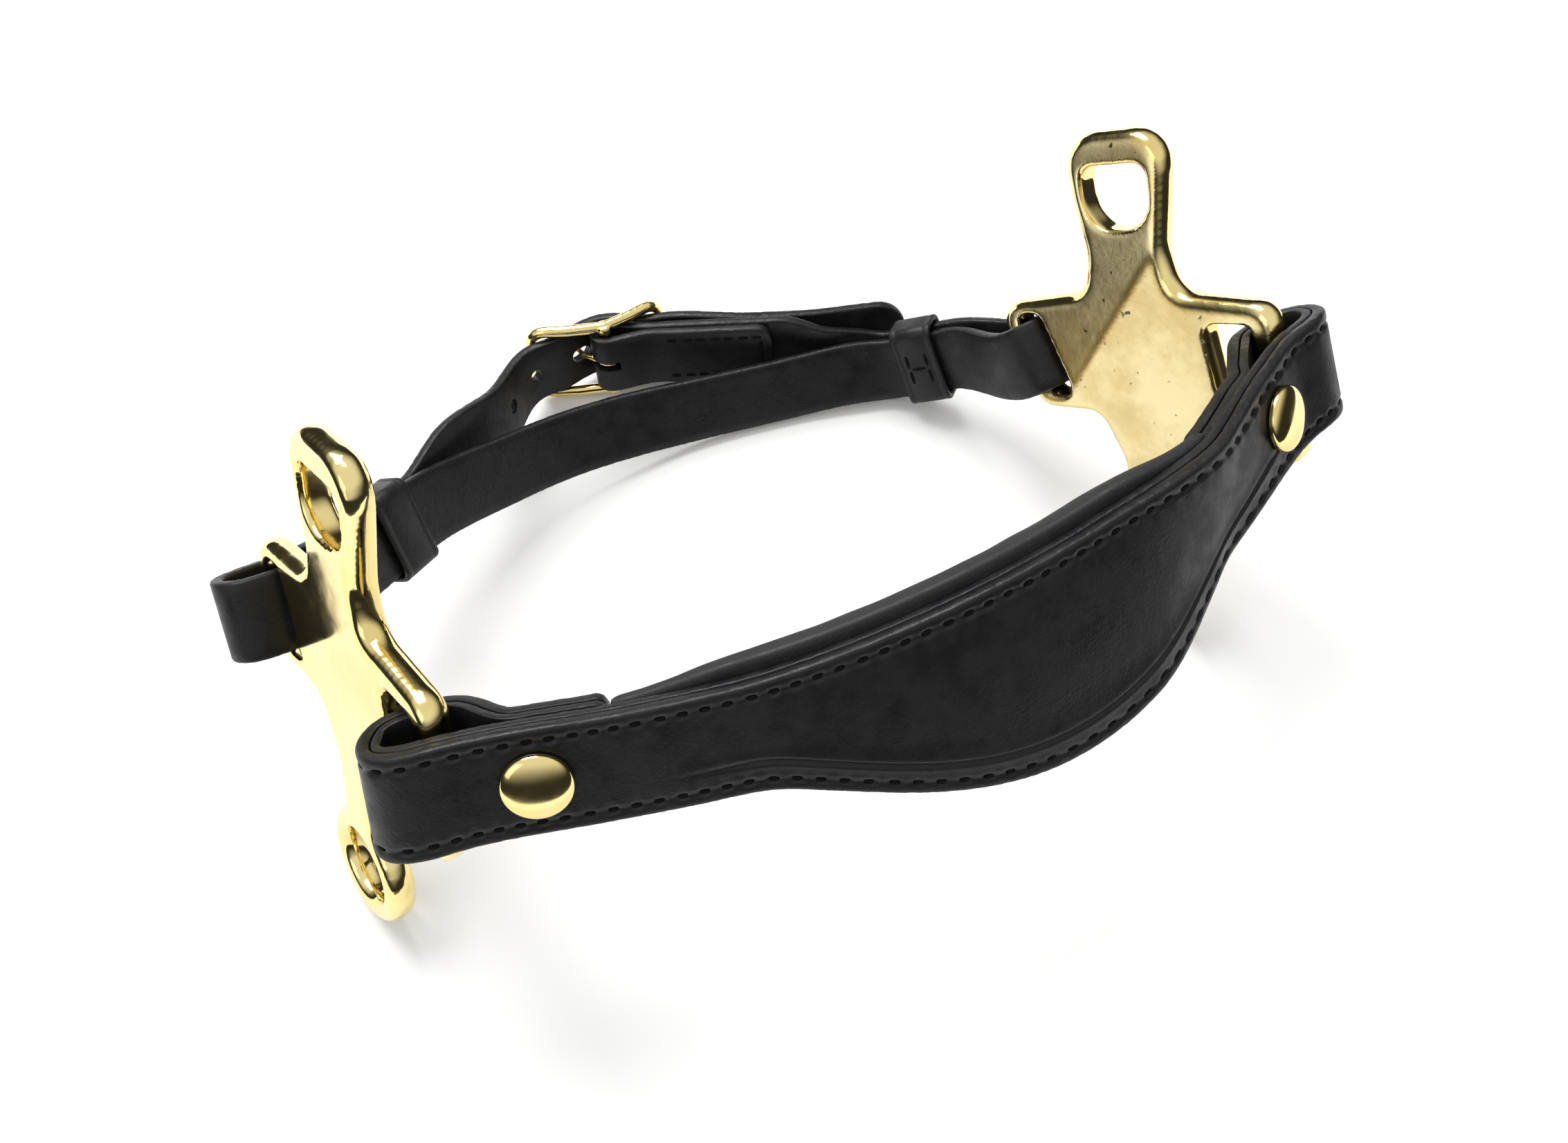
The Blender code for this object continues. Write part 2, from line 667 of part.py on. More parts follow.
class Noseband:
    def __init__(self, left, right):
        self.band = Band(spline(nose_rows(left, right), STEP))
        along, forward, _ = nose_axes()
        band = self.band
        middle = band.nearest(forward * (NOSE_BASE + NOSE_BULGE))
        half = BAR_SPAN / 2
        self.rivets = []
        self.lining = []
        for side, inset in ((-1, LEFT_RIVET_INSET), (1, RIGHT_RIVET_INSET)):
            reach = [abs(Vector(place).dot(along) * side - half + inset) for place in band.middle]
            near = [index for index in range(len(reach)) if (index - middle) * side > 0]
            outer = min(near, key=lambda index: (reach[index] > STEP, abs(index - middle)))
            self.rivets.append(outer)
            fold = half - FOLD_LENGTH - LINING_CLEARANCE
            reach = [abs(Vector(place).dot(along) * side - fold) for place in band.middle]
            self.lining.append(min(near, key=lambda index: (reach[index] > STEP, abs(index - middle))))

    def half_widths(self, index):
        swell = max(self.band.extra[index][0], 0)
        half = NOSE_WIDTH / 2
        return half + NOSE_SWELL_DOWN * swell, half + NOSE_SWELL_UP * swell


def add_leathers(nose, root):
    band = nose.band
    kept = band.kept()
    made = []
    for name, low, high, chamfer in (
        ("noseband_front_leather", GAP / 2, GAP / 2 + FRONT_LEATHER, LEATHER_CHAMFER),
        ("noseband_backing_leather", -GAP / 2 - BACKING_LEATHER, -GAP / 2, 0),
    ):

        def section(index, low=low, high=high, chamfer=chamfer):
            return strap_section(low, high, *nose.half_widths(index), 0, chamfer)

        made.append(add_object(name, sweep(band.rings(kept, section)), leather, root))
    return made


def lining_depth(nose, index, start, end):
    """How far the padded lining reaches inwards at a sample."""
    middle = (start + end) / 2
    share = 1 - abs(index - middle) / (end - middle)
    return LINING_END_DEPTH + (LINING_DEPTH - LINING_END_DEPTH) * blend(2 * share)


def narrowed(kept, first, last):
    """The sample numbers between first and last, with both of them."""
    return [first] + [index for index in kept if first < index < last] + [last]


def add_lining(nose, root):
    band = nose.band
    start, end = nose.lining
    back = -GAP / 2 - BACKING_LEATHER - GAP

    def section(index, inset, lip):
        down, up = nose.half_widths(index)
        depth = lining_depth(nose, index, start, end) - inset
        down += LINING_STAND_DOWN - inset
        up += LINING_STAND_UP - inset
        edge = LINING_ROUND - inset / 2
        return [
            (back + lip, -down),
            (back - depth + edge, -down),
            (back - depth, edge - down),
            (back - depth, up - edge),
            (back - depth + edge, up),
            (back + lip, up),
        ]

    kept = band.kept(start, end)
    cover = sweep(band.rings(kept, lambda index: section(index, 0, 0)))
    cover = add_object("noseband_lining", cover, leather, root)
    wall = round(LINING_THICKNESS / STEP)
    inside = narrowed(kept, start + wall, end - wall)
    hollow = sweep(band.rings(inside, lambda index: section(index, LINING_THICKNESS, FRONT_LEATHER / 2)))
    cut(cover, add_cutter("noseband_lining_hollow", hollow, root))
    inside = narrowed(kept, start + wall + 1, end - wall - 1)
    filling = sweep(band.rings(inside, lambda index: section(index, LINING_THICKNESS + GAP, 0)))
    add_object("noseband_padding", filling, foam, root)


def foam(name):
    return material(name, (0.05, 0.05, 0.052), 0.9)


def add_cutter(name, bm, parent):
    made = add_object(name, bm, leather, parent)
    made.hide_render = True
    made.display_type = "WIRE"
    return made


def cut(target, cutter, operation="DIFFERENCE"):
    boolean = target.modifiers.new(cutter.name, "BOOLEAN")
    boolean.operation = operation
    boolean.solver = "EXACT"
    boolean.object = cutter


def turned(profile, frame, sides=ROUND_SIDES):
    """A body turned round the frame's third axis, from (radius, height) pairs that end on the axis."""
    bm = bmesh.new()
    low = bm.verts.new((0, 0, profile[0][1]))
    high = bm.verts.new((0, 0, profile[-1][1]))
    angles = [2 * pi * step / sides for step in range(sides)]
    rings = [[bm.verts.new((r * cos(a), r * sin(a), h)) for a in angles] for r, h in profile[1:-1]]
    for first, second in zip(rings, rings[1:]):
        for index, vert in enumerate(first):
            bm.faces.new((first[index - 1], vert, second[index], second[index - 1]))
    for index in range(sides):
        bm.faces.new((low, rings[0][index], rings[0][index - 1]))
        bm.faces.new((high, rings[-1][index - 1], rings[-1][index]))
    bm.transform(frame)
    return bm


def add_rivet(name, nose, index, leathers, root):
    frame = nose.band.frame(index)
    face = GAP / 2 + FRONT_LEATHER + RIVET_CLEARANCE
    apart = 2 * BACKING_LEATHER + GAP + NOSE_FOLD_CLEARANCE
    back = -apart - face
    cap = [(0, back + 2 * BACK_CAP_THICKNESS), (CAP_STEM_RADIUS, back + 2 * BACK_CAP_THICKNESS)]
    cap += [(CAP_STEM_RADIUS, face), (CAP_RADIUS, face), (CAP_RADIUS, face + CAP_RIM)]
    cap += [
        (CAP_RADIUS * cos(pi / 8 * step), face + CAP_RIM + (CAP_RISE - CAP_RIM) * sin(pi / 8 * step))
        for step in range(1, 4)
    ]
    cap.append((0, face + CAP_RISE))
    add_object(name + "_cap", turned(cap, frame), brass, root, frame.translation)
    top = face - GAP
    post = [(0, back - BACK_CAP_THICKNESS), (BACK_CAP_RADIUS, back - BACK_CAP_THICKNESS)]
    post += [(BACK_CAP_RADIUS, back), (POST_RADIUS, back), (POST_RADIUS, top)]
    post += [(POST_RADIUS - POST_WALL, top), (POST_RADIUS - POST_WALL, back + BACK_CAP_THICKNESS)]
    post.append((0, back + BACK_CAP_THICKNESS))
    add_object(name + "_post", turned(post, frame), brass, root, frame.translation)
    bore = POST_RADIUS + GAP
    hole = [(0, back - face), (bore, back - face), (bore, 2 * face), (0, 2 * face)]
    cutter = add_cutter(name + "_hole", turned(hole, frame), root)
    for leather_piece in leathers:
        cut(leather_piece, cutter)


def thread_ring(height, across):
    """A thread's cross-section on a leather's face."""
    half = THREAD_WIDTH / 2
    return strap_section(height, height + THREAD_THICKNESS, half - across, half + across)


def add_nose_stitching(nose, root):
    band = nose.band
    height = GAP / 2 + FRONT_LEATHER + GAP
    ends = round(STITCH_INSET / STEP)
    kept = narrowed(band.kept(), ends, len(band.middle) - 1 - ends)
    for name, side in (("noseband_lower_stitching", -1), ("noseband_upper_stitching", 1)):

        def section(index, side=side):
            half = nose.half_widths(index)[0 if side < 0 else 1]
            return thread_ring(height, side * (half - STITCH_INSET))

        add_object(name, sweep(band.rings(kept, section)), thread, root)


# Buckle


class Buckle:
    """The centre bar's middle and the buckle's axes: rightwards, outwards and up."""

    def __init__(self, place):
        middle, lean = place
        self.middle = middle
        self.right = X * cos(BUCKLE_TILT) - Z * sin(BUCKLE_TILT)
        up = Z * cos(lean) + Y * sin(lean)
        self.out = up.cross(self.right).normalized()
        self.up = self.right.cross(self.out)
        self.axes = Matrix((self.right, self.out, self.up)).transposed()

    def point(self, right, out, up=0):
        return self.middle + self.right * right + self.out * out + self.up * up

    def row(self, right, out):
        return (*self.point(right, out), *self.up)

    @staticmethod
    def bend(right):
        """How far outwards the frame stands beside its centre bar."""
        slope = np.tan(BUCKLE_BEND)
        return slope * (hypot(right, BUCKLE_CORNER) - BUCKLE_CORNER)


def fold_radius():
    return BUCKLE_WIRE + GAP + CHIN_THICKNESS / 2


def layer_pitch():
    return CHIN_THICKNESS + GAP


def add_buckle(buckle, root):
    pivot = add_empty("buckle_pivot", root, buckle.middle, buckle.axes)
    half = BUCKLE_WIDTH / 2 - BUCKLE_WIRE
    corners = [
        ((-BUCKLE_LEFT, -half), BUCKLE_CORNER),
        ((0, -half), 0),
        ((BUCKLE_RIGHT, -half), BUCKLE_CORNER),
        ((BUCKLE_RIGHT, half), BUCKLE_CORNER),
        ((0, half), 0),
        ((-BUCKLE_LEFT, half), BUCKLE_CORNER),
    ]
    loop = [Vector((p.x, Buckle.bend(p.x), p.y)) for p in rounded(subdivided(corners))]
    frame = add_object("buckle_frame", tube(loop, BUCKLE_WIRE, WIRE_SIDES, Y, True), brass, pivot)
    shoulder = CHIN_WIDTH / 2 + BUCKLE_CLEARANCE
    bar = [(0, -half - BUCKLE_WIRE / 2), (BUCKLE_BOSS, -half - BUCKLE_WIRE / 2), (BUCKLE_BOSS, -shoulder)]
    bar += [(BUCKLE_WIRE, BUCKLE_WIRE / 2 - shoulder), (BUCKLE_WIRE, shoulder - BUCKLE_WIRE / 2)]
    bar += [(BUCKLE_BOSS, shoulder), (BUCKLE_BOSS, half + BUCKLE_WIRE / 2), (0, half + BUCKLE_WIRE / 2)]
    cut(frame, add_cutter("buckle_bar", turned(bar, Matrix.Identity(4)), pivot), "UNION")
    ring = BUCKLE_WIRE + GAP + TONGUE_WIRE
    rest = Buckle.bend(BUCKLE_LEFT) + BUCKLE_WIRE + GAP + TONGUE_WIRE
    hole = TONGUE_HOLE_REACH
    inside, outside = billet_depth(-hole) - CHIN_THICKNESS / 2, billet_depth(-hole) + CHIN_THICKNESS / 2
    wire = [Vector((ring * cos(a), ring * sin(a), 0)) for a in np.linspace(radians(110), radians(-180), 12)]
    wire += [
        Vector((-(ring + hole) / 2, inside * TONGUE_SAG_SHARE, 0)),
        Vector((-hole + TONGUE_WIRE / 2, inside, 0)),
        Vector((-hole, (inside + outside) / 2, 0)),
        Vector((-hole - TONGUE_WIRE / 2, outside, 0)),
        Vector((-(hole + BUCKLE_LEFT) / 2, (outside + rest) / 2 + TONGUE_WIRE, 0)),
        Vector((-BUCKLE_LEFT, rest, 0)),
        Vector((-BUCKLE_LEFT - BUCKLE_WIRE - TONGUE_WIRE, rest, 0)),
    ]
    add_object("buckle_tongue", tube(wire, TONGUE_WIRE, WIRE_SIDES, Z), brass, pivot)
    return pivot


def subdivided(corners):
    """The corners with a point in the middle of each side, so that a bent side stays smooth."""
    found = []
    for index, (corner, radius) in enumerate(corners):
        found.append((corner, radius))
        after = corners[(index + 1) % len(corners)][0]
        found.append((((corner[0] + after[0]) / 2, (corner[1] + after[1]) / 2), 0))
    return found


def billet_depth(right):
    """How far outside the centre bar the strap's free end runs through the buckle."""
    beside = BUCKLE_WIRE + BUCKLE_CLEARANCE + CHIN_THICKNESS / 2
    over = fold_radius() + CHIN_THICKNESS + 2 * BUCKLE_CLEARANCE
    if right < 0:
        end, share = Buckle.bend(BUCKLE_LEFT) - beside, blend(-right / BUCKLE_LEFT)
    else:
        end, share = Buckle.bend(BUCKLE_RIGHT) - beside, blend(right / BUCKLE_RIGHT)
    return over + (end - over) * share


# Chin strap


class Chin:
    """The chin strap's course, and where along it everything sits."""

    def __init__(self, left, right):
        self.left, self.right = left, right
        self.start = left.rear_bar
        self.span = right.rear_bar - left.rear_bar
        self.outward = Z.cross(self.span).normalized()
        self.buckle = Buckle(self.place(BUCKLE_SHARES))
        inner_rows = [self.row(shares) for shares in INNER_SHARES]
        arrive = self.place(INNER_SHARES[0])[0]
        out = right.rear_bar - arrive
        radius = bar_radius(RIGHT_LOOP_CLEARANCE, CHIN_THICKNESS / 2)
        right_loop = loop_rows(right.rear_loop, right.rear_along, out, radius, RIGHT_LOOP_REACH, -1)
        out = left.rear_bar - self.place(INNER_SHARES[-1])[0]
        radius = bar_radius(LEFT_LOOP_CLEARANCE, CHIN_THICKNESS / 2)
        left_loop = loop_rows(left.rear_loop, left.rear_along, out, radius, LEFT_LOOP_REACH, -1)
        inner = Band(spline(right_loop + inner_rows + left_loop, STEP))
        self.right_keeper = self.keeper_rows(inner, RIGHT_KEEPER_SHARE)
        self.left_keeper = self.keeper_rows(inner, LEFT_KEEPER_SHARE)
        rows = self.chape_rows() + [self.row(shares) for shares in MIDDLE_SHARES]
        rows += self.right_keeper(LAYER_SHIFT)
        rows += right_loop + inner_rows + left_loop
        rows += self.left_keeper(0)
        rows += [self.row(shares) for shares in OUTER_LEFT_SHARES]
        steps = np.linspace(-1, 1, 9)
        rows += [self.billet_row(step) for step in steps]
        rows += [self.row(shares) for shares in OUTER_RIGHT_SHARES]
        self.band = Band(spline(rows, STEP))
        self.count = len(self.band.middle)

    def place(self, shares):
        along, outward, drop, lean = shares
        reach = self.span.length
        where = self.start + self.span * along + self.outward * reach * outward - Z * reach * drop
        return where, lean * pi / 2

    def row(self, shares):
        where, lean = self.place(shares)
        return (*where, *(Z * cos(lean) + self.outward * sin(lean)))

    def keeper_rows(self, inner, share):
        """A function that gives rows for a layer outside the inner one, in the other direction."""
        target = [np.interp(share, *self.inner_column(column)) for column in (1, 2, 3)]
        index = inner.nearest(self.place((share, *target))[0])

        def rows(shift):
            found = []
            for share in KEEPER_ROW_SHARES:
                at = inner.after(index, share * KEEPER_WIDTH)
                across = inner.across[at]
                apart = layer_pitch() + CHIN_EASE * abs(share)
                where = inner.middle[at] + inner.outward[at] * apart + across * shift
                found.append((*where, *across))
            return found

        return rows

    @staticmethod
    def inner_column(column):
        ordered = sorted(INNER_SHARES)
        return [row[0] for row in ordered], [row[column] for row in ordered]

    def billet_row(self, step):
        right = step * (BUCKLE_RIGHT if step > 0 else BUCKLE_LEFT)
        return self.buckle.row(right, billet_depth(right))

    def chape_rows(self):
        """From the sewn end to the centre bar, round it and back beside the sewn end."""
        radius = fold_radius()
        slope = np.tan(CHAPE_SLOPE)
        pitch = layer_pitch() / cos(CHAPE_SLOPE)
        shares = CHAPE_SHARES

        def depth(right):
            return radius - slope * right

        rows = [self.buckle.row(CHAPE_LENGTH * s, depth(CHAPE_LENGTH * s) - pitch) for s in shares]
        for step in range(5):
            turn = pi / 4 * step
            rows.append(self.buckle.row(-radius * sin(turn), -radius * cos(turn)))
        shares = CHAPE_SHARES[::-1] + (CHAPE_LEAVE_SHARE,)
        return rows + [self.buckle.row(CHAPE_LENGTH * s, depth(CHAPE_LENGTH * s)) for s in shares]


def add_chin_strap(chin, root):
    band = chin.band
    half = CHIN_WIDTH / 2
    last = chin.count - 1
    tip = band.after(last, -TIP_LENGTH)
    kept = band.kept(0, tip)[:-1] + list(range(tip, last + 1))

    def section(index):
        past = max(band.run[index] - band.run[tip], 0) / TIP_LENGTH
        width = half * max(sqrt(max(1 - past * past, 0)), TIP_END_SHARE)
        low = -CHIN_THICKNESS / 2
        return strap_section(low, -low, width, width, CHIN_CHAMFER, CHIN_CHAMFER)

    return add_object("chin_strap", sweep(band.rings(kept, section)), leather, root)


def add_strap_holes(chin, strap, root):
    """The row of holes in the strap's free end, and the slot that the tongue's eye sits in."""
    band = chin.band
    tongue = band.nearest(chin.buckle.point(-TONGUE_HOLE_REACH, billet_depth(-TONGUE_HOLE_REACH)))
    depth = CHIN_THICKNESS / 2 + GAP
    punch = [(0, -depth), (HOLE_RADIUS, -depth), (HOLE_RADIUS, depth), (0, depth)]
    for step in range(-2, 3):
        frame = band.frame(band.after(tongue, step * HOLE_PITCH))
        cut(strap, add_cutter(f"strap_hole_{step + 2}", turned(punch, frame, WIRE_SIDES), root))
    radius = fold_radius() + CHIN_THICKNESS / 2 + BUCKLE_CLEARANCE
    half = TONGUE_SLOT_WIDTH / 2
    slot = [(0, -half), (radius, -half), (radius, half), (0, half)]
    frame = Matrix.Translation(chin.buckle.middle) @ chin.buckle.axes.to_4x4()
    cut(strap, add_cutter("tongue_slot", turned(slot, frame), root))


def laid_thread(points, normals):
    """A flat thread along points on a surface, mitred at its corners."""
    rings = []
    count = len(points)
    for index, (point, normal) in enumerate(zip(points, normals)):
        before = (point - points[max(index - 1, 0)]).normalized()
        after = (points[min(index + 1, count - 1)] - point).normalized()
        ahead = (before + after).normalized()
        mitre = 1 / max(ahead.dot(after), ahead.dot(before))
        side = normal.cross(ahead).normalized() * THREAD_WIDTH / 2 * mitre
        top = point + normal * THREAD_THICKNESS
        rings.append([point - side, top - side, top + side, point + side])
    return sweep(rings)


def add_fold_stitching(chin, root):
    band = chin.band
    first = round(STITCH_INSET / STEP)
    last = band.after(0, CHAPE_LENGTH * FOLD_STITCH_SHARE)
    half = CHIN_WIDTH / 2 - STITCH_INSET
    kept = band.kept(first, last)
    points, normals = [], []
    for side, order in ((half, kept[::-1]), (-half, kept)):
        for index in order:
            normal = -Vector(band.outward[index])
            height = normal * (CHIN_THICKNESS / 2 + GAP)
            points.append(Vector(band.middle[index]) + Vector(band.across[index]) * side + height)
            normals.append(normal)
    add_object("chin_strap_fold_stitching", laid_thread(points, normals), thread, root)


def add_keeper(name, chin, share, shift, root):
    """A leather loop round two layers of the strap, with its sewn joint on the inner face."""
    target = [np.interp(share, *chin.inner_column(column)) for column in (1, 2, 3)]
    index = chin.band.nearest(chin.place((share, *target))[0])
    frame = chin.band.frame(index)
    low = -CHIN_THICKNESS / 2 - KEEPER_CLEARANCE
    high = layer_pitch() + CHIN_THICKNESS / 2 + KEEPER_CLEARANCE
    down = -CHIN_WIDTH / 2 - KEEPER_CLEARANCE
    up = CHIN_WIDTH / 2 + KEEPER_CLEARANCE + shift

    def outline(by, corner):
        ends = ((down - by, low - by), (up + by, low - by), (up + by, high + by), (down - by, high + by))
        return rounded([(end, corner) for end in ends])

    outer = outline(KEEPER_THICKNESS, KEEPER_THICKNESS + GAP)
    hole = outline(0, 2 * GAP)
    bm = slab(outer, GAP, [(hole, GAP)], KEEPER_WIDTH, 1)
    bm.transform(frame)
    add_object(name, bm, leather, root, frame.translation)
    height = low - KEEPER_THICKNESS - GAP - STAPLE_THICKNESS / 2
    middle = (up + down) / 2
    turn = Matrix(((0, 1, 0), (0, 0, 1), (1, 0, 0))).to_4x4()
    bm = slab(staple_outline(), STAPLE_THICKNESS / 4, [], STAPLE_THICKNESS, 1)
    bm.transform(frame @ Matrix.Translation((0, middle, height)) @ turn)
    add_object(name + "_stitch", bm, thread, root, frame.translation)


def staple_outline():
    """Two upright stitches joined by a level one, as (along, across)."""
    half, inner = STAPLE_GAP / 2 + STAPLE_WIDTH, STAPLE_GAP / 2
    top, bar = STAPLE_LENGTH / 2, STAPLE_WIDTH / 2
    quarter = [(half, top), (inner, top), (inner, bar)]
    return (
        quarter
        + [(-a, b) for a, b in reversed(quarter)]
        + [(-a, -b) for a, b in quarter]
        + [(a, -b) for a, b in reversed(quarter)]
    )


# How it rests


def lowest(objects, up):
    best = None
    for found in objects:
        for vertex in found.data.vertices:
            place = found.matrix_world @ vertex.co
            if best is None or place.dot(up) < best.dot(up):
                best = place
    return best


def settle(harness, supports, everything):
    """Turns the whole until it rests on the lowest point of each support, then centres it."""
    bpy.context.view_layer.update()
    up = Z.copy()
    for _ in range(12):
        first, second, third = (lowest(group, up) for group in supports)
        up = (second - first).cross(third - first).normalized()
        up = up if up.z > 0 else -up
    turn = up.rotation_difference(Z).to_matrix()
    harness.matrix_world = turn.to_4x4()
    bpy.context.view_layer.update()
    places = np.array(
        [found.matrix_world @ vertex.co for found in everything for vertex in found.data.vertices]
    )
    low, high = places.min(axis=0), places.max(axis=0)
    shift = Vector((-(low[0] + high[0]) / 2, -(low[1] + high[1]) / 2, -low[2]))
    harness.matrix_world = Matrix.Translation(shift) @ turn.to_4x4()
    bpy.context.view_layer.update()


def main():
    for left_over in list(bpy.data.objects):
        bpy.data.objects.remove(left_over)
    harness = add_empty("harness", None)
    along, _, _ = nose_axes()
    left = Plate(LEFT_PLATE_TURN, -along * BAR_SPAN / 2)
    right = Plate(RIGHT_PLATE_TURN, along * BAR_SPAN / 2)
    left_plate = add_plate("left_cheek_plate", left, harness)
    right_plate = add_plate("right_cheek_plate", right, harness)
    nose = Noseband(left, right)
    leathers = add_leathers(nose, harness)
    add_lining(nose, harness)
    for name, index in zip(("left_rivet", "right_rivet"), nose.rivets):
        add_rivet(name, nose, index, leathers, harness)
    add_nose_stitching(nose, harness)
    chin = Chin(left, right)
    add_buckle(chin.buckle, harness)
    strap = add_chin_strap(chin, harness)
    add_strap_holes(chin, strap, harness)
    add_fold_stitching(chin, harness)
    add_keeper("right_keeper", chin, RIGHT_KEEPER_SHARE, LAYER_SHIFT, harness)
    add_keeper("left_keeper", chin, LEFT_KEEPER_SHARE, 0, harness)
    solid = [found for found in bpy.data.objects if found.type == "MESH" and not found.hide_render]
    behind = [found for found in solid if found.name in ("chin_strap", "right_keeper", "buckle_frame")]
    settle(harness, ([left_plate], [right_plate], behind), solid)


main()
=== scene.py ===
import json
from math import cos, hypot, pi, radians, sin, sqrt, tan

import bmesh
import bpy
import numpy as np
from mathutils import Matrix, Vector, noise


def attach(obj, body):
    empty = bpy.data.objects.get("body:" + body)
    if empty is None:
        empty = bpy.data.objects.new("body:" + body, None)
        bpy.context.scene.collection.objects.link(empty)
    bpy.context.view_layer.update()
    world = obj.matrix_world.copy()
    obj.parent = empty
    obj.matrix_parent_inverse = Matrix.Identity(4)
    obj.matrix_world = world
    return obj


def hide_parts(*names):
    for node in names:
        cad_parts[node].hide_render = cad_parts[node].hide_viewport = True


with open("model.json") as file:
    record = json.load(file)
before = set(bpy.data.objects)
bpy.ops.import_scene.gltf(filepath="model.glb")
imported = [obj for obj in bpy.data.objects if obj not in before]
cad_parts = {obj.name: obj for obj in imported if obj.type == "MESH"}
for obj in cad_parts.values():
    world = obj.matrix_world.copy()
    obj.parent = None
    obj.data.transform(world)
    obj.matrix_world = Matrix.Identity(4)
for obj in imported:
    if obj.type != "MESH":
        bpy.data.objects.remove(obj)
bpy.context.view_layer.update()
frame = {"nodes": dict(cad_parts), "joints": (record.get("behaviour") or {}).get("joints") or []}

# A hackamore on a white table: brass cheek plates, a padded noseband and a buckled chin strap

joints = {joint["name"]: joint for joint in frame["joints"]}
axisX, axisY, axisZ = Vector((1, 0, 0)), Vector((0, 1, 0)), Vector((0, 0, 1))

# How the plates hang and how their bars run, in a frame that is level with the noseband
harness = {
    "barSpan": 0.2145,
    "spanHeading": radians(5.9),
    "spanRise": radians(0.8),
    "leftTurn": (radians(23.3), radians(18.6), radians(25.1)),
    "rightTurn": (radians(31.3), radians(35.5), radians(19.9)),
    "barWidth": 0.0065,
    "plateThickness": 0.0075,
    "plateEdge": 0.0026,
    "frontBar": (0.0395, -0.0055, radians(10)),  # forward, up and slant
    "rearBar": (-0.0360, -0.0005, radians(21)),
    "noseRise": 0.0016,
    "chinDrop": 0.0020,
    "touchGap": 0.0003,
    "coarse": 0.0015,  # the step at which the courses are laid out
    "fine": 0.00065,
}


def blend(share):
    share = min(max(share, 0), 1)
    return share * share * (3 - 2 * share)


def smoothLine(rows, step):
    # a natural cubic spline through rows of numbers, in even steps along the first three
    rows = np.array(rows, float)
    lengths = np.linalg.norm(np.diff(rows[:, :3], axis=0), axis=1)
    knots = np.concatenate([[0], np.cumsum(lengths)])
    system = np.diag([1, *2 * (lengths[:-1] + lengths[1:]), 1])
    system += np.diag([*lengths[:-1], 0], -1) + np.diag([0, *lengths[1:]], 1)
    change = np.zeros_like(rows)
    change[1:-1] = 6 * np.diff(np.diff(rows, axis=0) / lengths[:, None], axis=0)
    bend = np.linalg.solve(system, change)
    places = np.linspace(0, knots[-1], round(knots[-1] / step) + 1)
    where = np.clip(np.searchsorted(knots, places, "right") - 1, 0, len(rows) - 2)
    length = lengths[where][:, None]
    past = (places - knots[where])[:, None]
    left = length - past
    low, high = bend[where], bend[where + 1]
    found = (low * left**3 + high * past**3) / (6 * length)
    found += (rows[where] / length - low * length / 6) * left
    found += (rows[where + 1] / length - high * length / 6) * past
    return found


class Course:
    # a strap's middle line, the way across it and its outward side
    def __init__(self, samples):
        self.middle = samples[:, :3]
        ahead = np.gradient(self.middle, axis=0)
        self.ahead = ahead / np.linalg.norm(ahead, axis=1, keepdims=True)
        across = samples[:, 3:6]
        across = across - self.ahead * (across * self.ahead).sum(axis=1, keepdims=True)
        self.across = across / np.linalg.norm(across, axis=1, keepdims=True)
        self.outward = np.cross(self.ahead, self.across)
        self.extra = samples[:, 6:]
        steps = np.linalg.norm(np.diff(self.middle, axis=0), axis=1)
        self.run = np.concatenate([[0], np.cumsum(steps)])
        self.count = len(self.middle)

    def nearest(self, place):
        return int(np.argmin(np.linalg.norm(self.middle - np.array(place), axis=1)))

    def after(self, index, distance):
        return int(np.argmin(abs(self.run - self.run[index] - distance)))

    def point(self, index, outward, across):
        return self.middle[index] + self.outward[index] * outward + self.across[index] * across

    def frame(self, index):
        # columns ahead, across and outward, with the place on the middle line
        made = Matrix.Identity(4)
        for column, axis in enumerate((self.ahead, self.across, self.outward, self.middle)):
            made.col[column].xyz = axis[index]
        return made

    def samples(self):
        return np.concatenate([self.middle, self.across, self.extra], axis=1)

    def moved(self, place):
        turn, samples = np.array(place.to_3x3()), self.samples()
        samples[:, :3] = samples[:, :3] @ turn.T + np.array(place.translation)
        samples[:, 3:6] = samples[:, 3:6] @ turn.T
        return Course(samples)


def noseAxes():
    level = Matrix.Rotation(harness["spanHeading"], 3, "Z")
    rise, lean, tip = harness["spanRise"], noseband["lean"], noseband["tip"]
    along = level @ Vector((cos(rise), 0, sin(rise)))
    forward = level @ Vector((0, -cos(lean), sin(lean)))
    upward = along.cross(-forward).normalized()
    return along, forward, upward * cos(tip) - forward * sin(tip)


def hangPlate(turn, side):
    heading, pitch, roll = turn
    axes = Matrix.Rotation(heading, 3, "Z") @ Matrix.Rotation(-pitch, 3, "X")
    axes = axes @ Matrix.Rotation(roll, 3, "Y")

    def bar(forward, up, slant):
        return axes @ Vector((0, -forward, up)), axes @ Vector((0, sin(slant), cos(slant)))

    (front, frontAlong), (rear, rearAlong) = bar(*harness["frontBar"]), bar(*harness["rearBar"])
    frontBar = noseAxes()[0] * side * harness["barSpan"] / 2
    rearBar = frontBar - front + rear
    return {
        "axes": axes,
        "frontBar": frontBar,
        "frontAlong": frontAlong,
        "frontLoop": frontBar + frontAlong * harness["noseRise"],
        "rearBar": rearBar,
        "rearAlong": rearAlong,
        "rearLoop": rearBar - rearAlong * harness["chinDrop"],
    }


